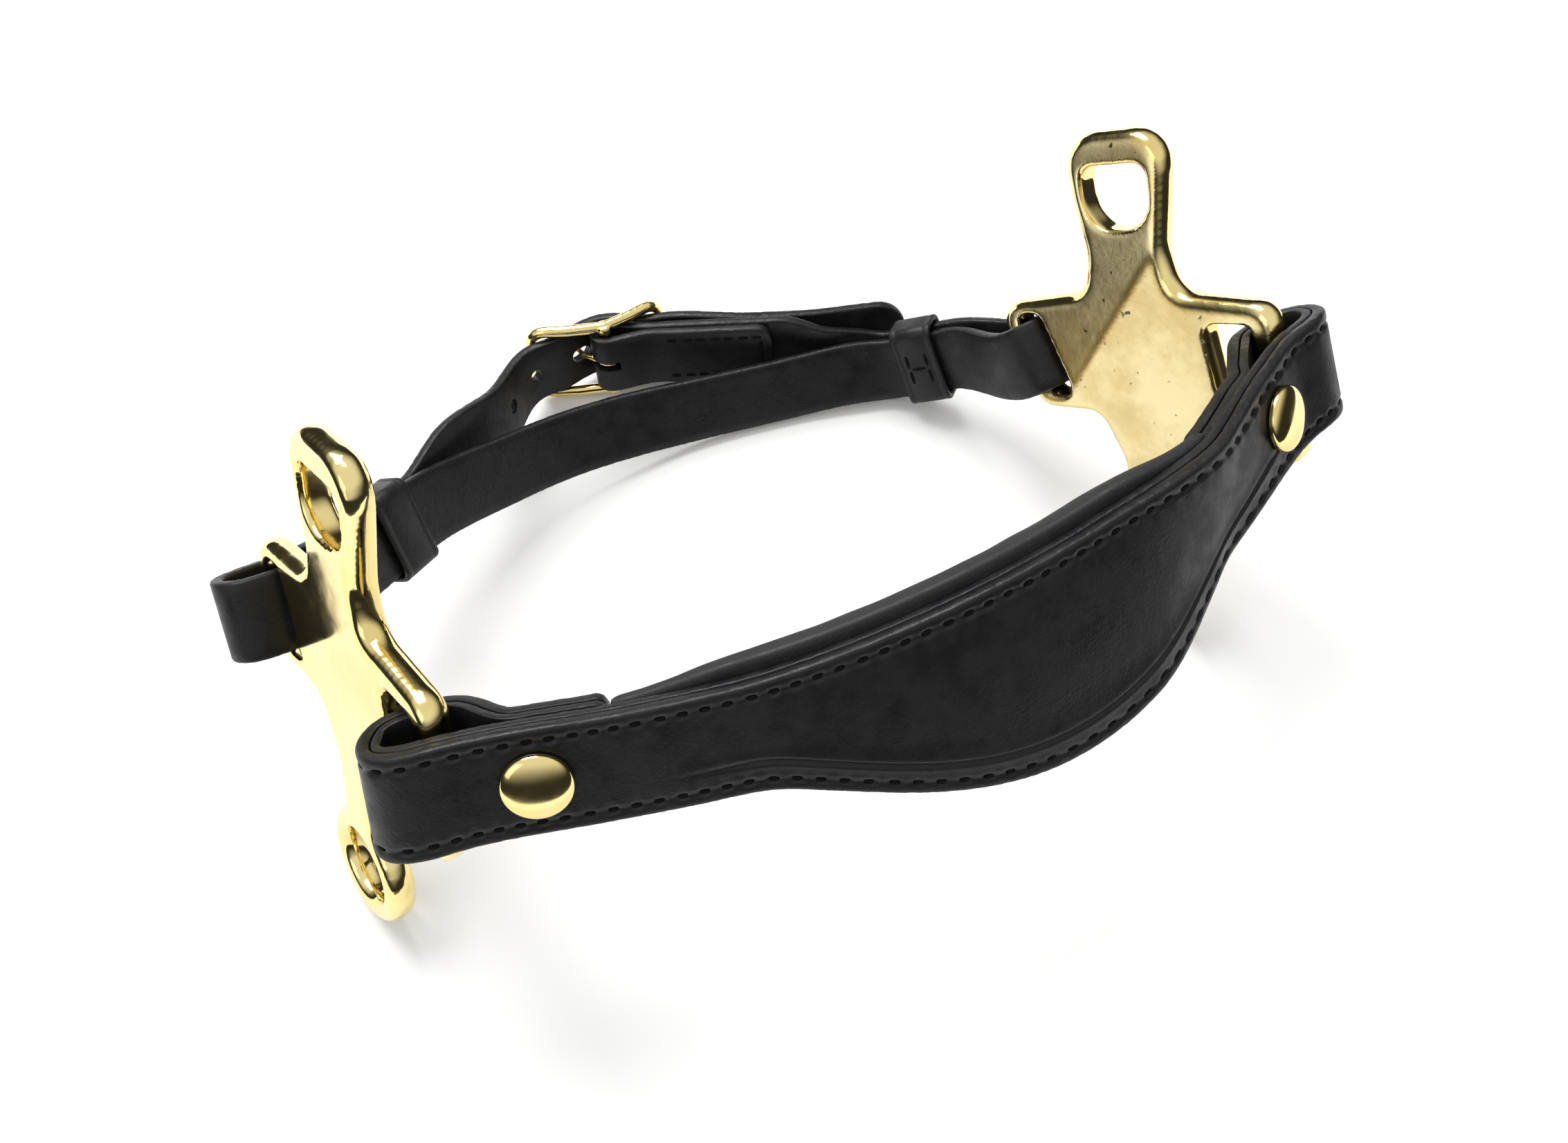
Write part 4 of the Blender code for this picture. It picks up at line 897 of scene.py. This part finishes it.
def domedCap(name, place):
    radius, rim = noseband["capRadius"], rivet["capRim"]
    ball = {"segments": 64, "ring_count": 32, "radius": radius}
    piece = startPiece(name, bpy.ops.mesh.primitive_uv_sphere_add, **ball)
    half = {"plane_co": (0, 0, 0), "plane_no": (0, 0, 1), "clear_inner": True, "use_fill": True}
    inEditMode(piece, lambda: bpy.ops.mesh.bisect(**half))
    for vertex in piece.data.vertices:
        height = vertex.co.z / radius
        vertex.co.z = rivetFace + rim * min(height * 8, 1) + (rivet["capRise"] - rim) * height
    piece.data.transform(place)
    inEditMode(piece, lambda: bpy.ops.mesh.normals_make_consistent(inside=False))
    smoothShade(piece)
    return piece


def rivetPost(name, place):
    # a flat back cap with the post drawn out of its face
    radius, depth = rivet["backRadius"], rivet["backThickness"]
    piece = startPiece(name, bpy.ops.mesh.primitive_cylinder_add, vertices=48, radius=radius, depth=depth)
    inEditMode(piece, lambda: bpy.ops.mesh.select_all(action="DESELECT"))
    for side in piece.data.polygons:
        side.select = side.normal.z > 0.9
    bpy.ops.object.mode_set(mode="EDIT")
    bpy.ops.mesh.inset(thickness=radius - rivet["postRadius"])
    rise = {"value": (0, 0, rivetFace - rivetBack - depth)}
    bpy.ops.mesh.extrude_region_move(TRANSFORM_OT_translate=rise)
    bpy.ops.object.mode_set(mode="OBJECT")
    piece.data.transform(place @ Matrix.Translation((0, 0, rivetBack - depth / 2)))
    bevel = {"width": rivet["edge"], "segments": 3, "limit_method": "ANGLE"}
    applyModifiers(piece, ("BEVEL", bevel))
    smoothShade(piece, 35)
    return piece


for side, name in enumerate(("left", "right")):
    inset = noseband["rivetInset"][side] / (harness["barSpan"] / 2)
    place = noseCourse.frame(atShare((1 - inset) * (1 if side else -1)))
    for part, build in (("Cap", domedCap), ("Post", rivetPost)):
        piece = build(name + "Rivet" + part, place)
        finishPiece(piece, "noseband", name + "_rivet_" + part.lower(), fittingBrass)
print("metal finished")


# Noseband leathers


def cornerCut(distance, radius):
    # how much a rounded corner takes off an edge, that far from the end
    return radius * (1 - sqrt(max(1 - max(1 - distance / radius, 0) ** 2, 0)))


def noseHalves(index):
    swell = max(noseCourse.extra[index][0], 0)
    half = noseband["width"] / 2
    half -= cornerCut(min(index, noseCourse.count - 1 - index) * harness["fine"], noseband["corner"])
    return half + noseband["swellDown"] * swell, half + noseband["swellUp"] * swell, swell


def noseCrown(index, across):
    down, up, swell = noseHalves(index)
    place = (2 * across + down - up) / (down + up)
    return noseband["crown"] * swell * max(1 - place * place, 0)


def grooveAt(index, distance):
    # depth of the channel that the stitches lie in, and of the pits along it
    away = abs(distance - noseband["stitchInset"])
    phase = (noseCourse.run[index] - noseband["stitchInset"]) / noseband["stitchPitch"]
    beside = abs(phase % 1 - 0.5) * noseband["stitchPitch"]
    pit = noseband["pit"] * blend(1.35 - away / 0.0009) * blend(1.6 - beside / 0.0010)
    return noseband["groove"] * blend(1 - (away - 0.0003) / 0.0006) + pit


def creaseAt(index, distance):
    # the pressed line, with a low welt on both sides of it
    away = abs(distance - noseband["crease"])
    share = noseShare[index]
    fade = blend((share + 0.62) / 0.25) * blend((0.86 - share) / 0.08) * (runLow < index < runHigh)
    pressed = blend(1 - away / 0.0007) - 0.45 * blend(1 - abs(away - 0.0012) / 0.0007)
    return noseband["creaseDepth"] * fade * pressed


def flatRow(outward, start, end, steps):
    return [(outward, start + (end - start) * step / steps, False) for step in range(steps + 1)]


def crowned(index, points):
    return [(outward + noseCrown(index, across), across, edge) for outward, across, edge in points]


# distances from the edges at which the leather is sampled, closest at the groove and the crease
grooveSteps = (0.0016, 0.0021, 0.0027, 0.0030, 0.0033, 0.0039, 0.0046)
creaseSteps = (0.0066, 0.0070, 0.0074, 0.0078, 0.0082, 0.0086, 0.0090, 0.0098)


def frontSection(index):
    down, up, swell = noseHalves(index)
    low = harness["touchGap"] / 2
    high = low + noseband["front"]
    points = flatRow(low, up - 0.004, 0.004 - down, 4)
    points += edgePoints(low, high, -down, -1)
    for distance in (*grooveSteps, 0.0060):
        points.append((high - grooveAt(index, distance), distance - down, False))
    for distance in creaseSteps:
        points.append((high - creaseAt(index, distance), distance - down, False))
    points += flatRow(high, creaseSteps[-1] - down, up - grooveSteps[-1], 6)[1:-1]
    for distance in grooveSteps[::-1]:
        points.append((high - grooveAt(index, distance), up - distance, False))
    points += edgePoints(low, high, up, 1)[::-1]
    return crowned(index, points)


def backingSection(index):
    down, up, swell = noseHalves(index)
    high = -harness["touchGap"] / 2
    low = high - noseband["backing"]
    points = flatRow(low, up - 0.003, 0.003 - down, 6)
    points += edgePoints(low, high, -down, -1, 0.0004)
    points += flatRow(high, 0.003 - down, up - 0.003, 4)
    points += edgePoints(low, high, up, 1, 0.0004)[::-1]
    return crowned(index, points)


for name, section in (("Front", frontSection), ("Backing", backingSection)):
    piece = strapPiece("noseband" + name, noseCourse, section)
    node = "noseband_" + name.lower() + "_leather"
    finishPiece(piece, "noseband", node, faceLeather, cutEdge)


# The lining is a soft leather roll over foam

lining = {
    "depth": 0.0060,
    "endDepth": 0.0042,
    "standUp": 0.0030,
    "standDown": 0.0016,
    "wall": 0.0011,
    "clearance": 0.0004,
    "round": 0.0026,
    "rise": 0.030,  # how far from its ends it stands up fully
    "sink": 0.0010,
    "puff": (130, 0.0003),  # how fine and how deep the leather's own hollows are
    "fill": 0.8,
}


def liningSection(index, inset):
    down, up, swell = noseHalves(index)
    first, last = liningEnds
    back = -harness["touchGap"] * 1.5 - noseband["backing"] - inset
    reach = min(index - first, last - index) * harness["fine"]
    share = 1 - abs(2 * (index - first) / (last - first) - 1)
    depth = lining["endDepth"] + (lining["depth"] - lining["endDepth"]) * blend(2 * share)
    depth = (depth - 2 * inset) * sqrt(max(1 - (1 - min(reach / 0.003, 1)) ** 2, 0.02))
    sunk = 1 - blend(reach / lining["rise"])
    down += lining["standDown"] - inset - sunk * lining["sink"]
    up += lining["standUp"] - inset - sunk * lining["standUp"]
    corner = min(lining["round"], depth * 0.62)
    rim = []
    for step in range(7):
        turn = pi / 2 * step / 6
        rim.append((back - depth + corner * (1 - cos(turn)), corner * (1 - sin(turn))))
    rim += [(back - min(0.0009, depth * 0.2), 0.0001), (back, 0.0007)]
    points = [(outward, up - across) for outward, across in rim]
    points += [point[:2] for point in flatRow(back, up - 0.003, 0.003 - down, 3)]
    points += [(outward, across - down) for outward, across in rim[::-1]]
    for step in range(1, 6):
        across = corner - down + (up + down - 2 * corner) * step / 6
        points.append((back - depth - 0.0004 * sin(pi * step / 6), across))
    found = []
    for outward, across in points:
        puff = 0
        if outward < back - 0.002:
            puff = roughened(noseCourse.point(index, outward, across), *lining["puff"])
        found.append((outward + puff + noseCrown(index, min(max(across, -down), up)), across, False))
    return found


foldShare = 1 - (noseband["foldLength"] + lining["clearance"]) / (harness["barSpan"] / 2)
liningEnds = (atShare(-foldShare), atShare(foldShare))


def liningPiece(name, inset, margin):
    indices = range(liningEnds[0] + margin, liningEnds[1] - margin + 1)
    rings = stripRings(noseCourse, indices, lambda index: liningSection(index, inset))
    piece = gridPiece(name, rings)
    applyModifiers(piece, ("SUBSURF", {"levels": 1, "render_levels": 1}))
    smoothShade(piece, 70)
    return piece


for name, inset, margin, look in (
    ("Lining", 0, 0, softLeather),
    ("Padding", lining["wall"], 3, paddingFoam),
):
    piece = liningPiece("noseband" + name, inset, margin)
    finishPiece(piece, "noseband", "noseband_" + name.lower(), look)


# Stitching: one stitch, copied along each row


def oneStitch(length, width, height):
    ball = {"segments": 8, "ring_count": 6, "radius": 0.5}
    piece = startPiece("stitch", bpy.ops.mesh.primitive_uv_sphere_add, **ball)
    inEditMode(piece, lambda: bpy.ops.transform.resize(value=(width, height, length)))
    mesh = piece.data
    bpy.data.objects.remove(piece)
    return mesh


def stitchRow(name, stitch, places):
    # places are (centre, along the stitch, out of the leather)
    joined = bmesh.new()
    for centre, along, out in places:
        along = Vector(along).normalized()
        side = Vector(out).cross(along).normalized()
        turn = Matrix((side, along.cross(side), along)).transposed().to_4x4()
        copy = stitch.copy()
        copy.transform(Matrix.Translation(Vector(centre)) @ turn)
        joined.from_mesh(copy)
        bpy.data.meshes.remove(copy)
    mesh = bpy.data.meshes.new(name)
    joined.to_mesh(mesh)
    joined.free()
    piece = linkPiece(name, mesh)
    selectOnly(piece)
    bpy.ops.object.shade_smooth()
    return piece


def stitchLine(index, side):
    # how far across the band the stitches of one edge lie
    down, up, swell = noseHalves(index)
    return side * ((up if side > 0 else down) - noseband["stitchInset"])


noseStitch = oneStitch(*noseband["stitch"])
stitchBed = harness["touchGap"] / 2 + noseband["front"] - noseband["groove"] - noseband["stitchSink"]
for name, side in (("Lower", -1), ("Upper", 1)):
    places = []
    distance = noseband["stitchInset"] + noseband["stitchPitch"] / 2
    while distance < noseCourse.run[-1] - noseband["stitchInset"]:
        index = noseCourse.after(0, distance)
        ahead = noseCourse.after(0, distance + noseband["stitchAhead"])
        across = stitchLine(index, side)
        height = stitchBed + noseCrown(index, across)
        centre = noseCourse.point(index, height, across)
        along = noseCourse.point(ahead, height, stitchLine(ahead, side)) - centre
        if np.linalg.norm(along) > 0:
            places.append((centre, along, noseCourse.outward[index]))
        distance += noseband["stitchPitch"]
    piece = stitchRow("noseband" + name + "Stitches", noseStitch, places)
    finishPiece(piece, "noseband", "noseband_" + name.lower() + "_stitching", blackThread)


# Chin strap


def chinSection(index):
    half = chin["width"] / 2 - cornerCut(chinCourse.run[index], chin["corner"])
    past = max(chinCourse.run[index] - chinCourse.run[-1] + chin["tip"], 0) / chin["tip"]
    half *= max(sqrt(max(1 - past * past, 0)), 0.12)
    low, high = -chin["thickness"] / 2, chin["thickness"] / 2
    flat = half - 0.001 - (0.0018 if half > 0.003 else 0)
    face = [share * (half - 0.003) * (half > 0.004) for share in (0.66, 0.33, 0, -0.33, -0.66)]
    points = [(low, across, False) for across in (flat, *face, -flat)]
    points += edgePoints(low, high, -half, -1, 0.0008, 0.0007)
    points += [(high, across, False) for across in face[::-1]]
    return points + edgePoints(low, high, half, 1, 0.0008, 0.0007)[::-1]


def punch(place, radius, depth):
    rod = {"vertices": 32, "radius": radius, "depth": depth}
    piece = startPiece("punch", bpy.ops.mesh.primitive_cylinder_add, **rod)
    piece.data.transform(place)
    return piece


strap = strapPiece("chinStrap", chinCourse, chinSection)
buckleMiddle, buckleRight, buckleOut, buckleUp = buckleAxes()
reach = -buckle["tongueReach"]
tonguePlace = buckleMiddle + buckleRight * reach + buckleOut * billetDepth(reach)
tongueIndex = chinCourse.nearest(toWorld @ tonguePlace)
cutters = []
for step in range(-2, 3):
    place = chinCourse.frame(chinCourse.after(tongueIndex, step * buckle["holePitch"]))
    cutters.append(punch(place, buckle["holeRadius"], chin["thickness"] * 1.2))
# the tongue has drawn its own hole out
for reach in (-buckle["drawn"], buckle["drawn"]):
    place = chinCourse.frame(tongueIndex) @ Matrix.Translation((reach, 0, 0))
    cutters.append(punch(place, buckle["wornRadius"], chin["thickness"] * 1.2))
turn = Matrix((buckleRight, buckleOut, buckleUp)).transposed().to_4x4()
place = toWorld @ Matrix.Translation(buckleMiddle) @ turn
slotRadius = foldRadius + chin["thickness"] / 2 + buckle["clearance"]
cutters.append(punch(place, slotRadius, buckle["tongueSlot"]))
cut = {"operation": "DIFFERENCE", "solver": "EXACT"}
applyModifiers(strap, *[("BOOLEAN", {**cut, "object": cutter}) for cutter in cutters])
for cutter in cutters:
    bpy.data.objects.remove(cutter)
smoothShade(strap)
finishPiece(strap, "chin", "chin_strap", faceLeather, cutEdge)

# two rows of stitches and one across, on the sewn end behind the buckle
places = []
height = -chin["thickness"] / 2 - 0.0001
for side in (-1, 1):
    distance = chin["stitchStart"]
    while distance < chin["chape"] * chin["stitchShare"]:
        index = chinCourse.after(0, distance)
        centre = chinCourse.point(index, height, side * (chin["width"] / 2 - chin["stitchInset"]))
        places.append((centre, chinCourse.ahead[index], -chinCourse.outward[index]))
        distance += chin["stitchPitch"]
index = chinCourse.after(0, chin["stitchInset"])
for step in range(-1, 2):
    centre = chinCourse.point(index, height, step * chin["stitchPitch"])
    places.append((centre, chinCourse.across[index], -chinCourse.outward[index]))
piece = stitchRow("foldStitches", oneStitch(*chin["stitch"]), places)
finishPiece(piece, "chin", "chin_strap_fold_stitching", blackThread)


# Keepers: a leather loop round two layers of the strap, joined by an H of stitches


def keeperPath(shift):
    beyond = keeper["clearance"] + keeper["thickness"] / 2
    low = -chin["thickness"] / 2 - beyond
    high = layerPitch + chin["thickness"] / 2 + beyond
    down = -chin["width"] / 2 - beyond
    up = -down + shift
    corner = keeper["corner"]
    path = []
    corners = [(up - corner, high - corner), (down + corner, high - corner)]
    corners += [(down + corner, low + corner), (up - corner, low + corner)]
    for quarter, (across, outward) in enumerate(corners):
        for step in range(7):
            turn = pi / 2 * (quarter + step / 6)
            normal = (cos(turn), sin(turn))
            path.append((across + corner * normal[0], outward + corner * normal[1], normal))
        if quarter in (0, 2):
            end = corners[quarter + 1][0]
            path += [(across + (end - across) * step / 6, *path[-1][1:]) for step in range(1, 6)]
    return path, low, (up + down) / 2


def keeperPiece(name, index, shift):
    path, low, middle = keeperPath(shift)
    half, thick, soft = keeper["width"] / 2, keeper["thickness"] / 2, keeper["soft"]
    border = [
        (-thick, half - soft, True),
        (-thick + soft, half, True),
        (thick - soft, half, True),
        (thick - soft * 0.3, half - soft * 0.3, True),
        (thick, half - soft, False),
    ]
    for distance, depth in zip(keeper["crease"], (0, keeper["creaseDepth"], 0)):
        border.append((thick - depth, half - distance, False))
    section = [(-thick, across, False) for across in (soft - half, -half / 2, 0, half / 2)]
    section += border + [(thick, 0, False)]
    section += [(outward, -ahead, edge) for outward, ahead, edge in border[:0:-1]]
    rings = []
    for across, outward, normal in path:
        ring = []
        for out, ahead, edge in section:
            place = chinCourse.point(index, outward + normal[1] * out, across + normal[0] * out)
            place = place + chinCourse.ahead[index] * ahead
            rough = roughened(place, roughness["size"], roughness["keeper"] * edge)
            ring.append(place + chinCourse.ahead[index] * rough)
        rings.append(ring)
    piece = gridPiece(name, rings, True)
    markColumns(piece, [edge for _, _, edge in section])
    smoothShade(piece)
    return piece, low, middle


keeperStitch = oneStitch(*keeper["stitch"])
for side, name, shift in ((0, "left", 0), (1, "right", chin["layerShift"])):
    share = chin["keeperShare"][side]
    index = chinCourse.nearest(toWorld @ chinPlace(keeperTarget(share))[0])
    piece, low, middle = keeperPiece(name + "Keeper", index, shift)
    finishPiece(piece, name + "_loop", name + "_keeper", faceLeather, cutEdge)
    ahead, across = keeper["stitchPlace"]
    stitches = [(x, y, chinCourse.across) for x in (-ahead, ahead) for y in (across, -across)]
    places = []
    for x, y, way in stitches + [(0, 0, chinCourse.ahead)]:
        centre = chinCourse.point(index, low - keeper["thickness"] / 2, middle + y)
        centre = centre + chinCourse.ahead[index] * x
        places.append((centre, way[index], -chinCourse.outward[index]))
    piece = stitchRow(name + "KeeperStitches", keeperStitch, places)
    finishPiece(piece, name + "_loop", name + "_keeper_stitch", blackThread)
print("leather finished")


# Table, light and camera

studio = {
    "tableSize": 1.5,
    "shadowReach": 0.25,  # beyond it the table is lit more and more evenly
    "tableWhite": 0.86,
    "tableGlow": 0.10,
    "horizonLight": 0.03,
    "horizonToZenith": (0.18, 0.75),
    "zenithLight": 0.85,
    "keyPower": 18,
    "keySize": 0.8,
    "keyPlace": (-0.10, 0.80, 1.05),
    "fillPower": 1.2,
    "fillPlace": (-0.9, -0.4, 0.8),
    "fillSize": 0.7,
    "lampTarget": (0, 0, 0.05),
}
white = (1, 1, 1, 1)


def whiteTable():
    # it glows a little for the camera and in the metal, and keeps the shadow
    made = newMaterial("whiteTable")
    away = made.vectors("LENGTH", {0: made.place}, "Value")
    glow = made.ranged(away, studio["shadowReach"], studio["tableSize"] / 2, studio["tableGlow"])
    rays = [made.add("LightPath", {}, kind) for kind in ("Is Camera Ray", "Is Glossy Ray")]
    glow = made.math("MULTIPLY", made.math("MAXIMUM", *rays), glow)
    made.put(made.shader, {"Base Color": (*[studio["tableWhite"]] * 3, 1), "Roughness": 0.9})
    made.put(made.shader, {"Specular IOR Level": 0.1, "Emission Color": white, "Emission Strength": glow})
    return made.owner


table = startPiece("table", bpy.ops.mesh.primitive_plane_add, size=studio["tableSize"])
table.data.materials.append(whiteTable())

# the room is light above and dim round about, and white behind the table for the camera
room = Shading(bpy.data.worlds.new("studio"), "Background", "Generated")
height = room.add("SeparateXYZ", {0: room.place}, "Z")
light = room.ranged(height, *studio["horizonToZenith"], studio["horizonLight"], studio["zenithLight"])
light = room.math("MAXIMUM", light, room.add("LightPath", {}, "Is Camera Ray"))
room.put(room.shader, {"Color": white, "Strength": light})
bpy.context.scene.world = room.owner

for name in ("key", "fill"):
    lamp = bpy.data.lights.new(name + "Lamp", "AREA")
    lamp.energy, lamp.size = studio[name + "Power"], studio[name + "Size"]
    made = linkPiece(name + "Lamp", lamp)
    made.location = studio[name + "Place"]
    aim = Vector(studio["lampTarget"]) - made.location
    made.rotation_euler = aim.to_track_quat("-Z", "Y").to_euler()

view = {
    "place": (-0.06655, -0.10890, 0.24945),  # in the level frame
    "forward": (0.156, 0.42, -0.893),
    "right": (0.932, -0.359, -0.006),
    "sensor": 36,
    "lens": 1800 / 2266 * 36,
    "near": 0.01,
}
forward = Vector(view["forward"]).normalized()
right = Vector(view["right"])
right = (right - forward * right.dot(forward)).normalized()
turn = Matrix((right, right.cross(forward), -forward)).transposed().to_4x4()
lens = bpy.data.cameras.new("camera")
lens.sensor_width, lens.lens, lens.clip_start = view["sensor"], view["lens"], view["near"]
camera = linkPiece("camera", lens)
camera.matrix_world = toWorld @ Matrix.Translation(view["place"]) @ turn
bpy.context.scene.camera = camera
bpy.context.scene.view_settings.view_transform = "Standard"
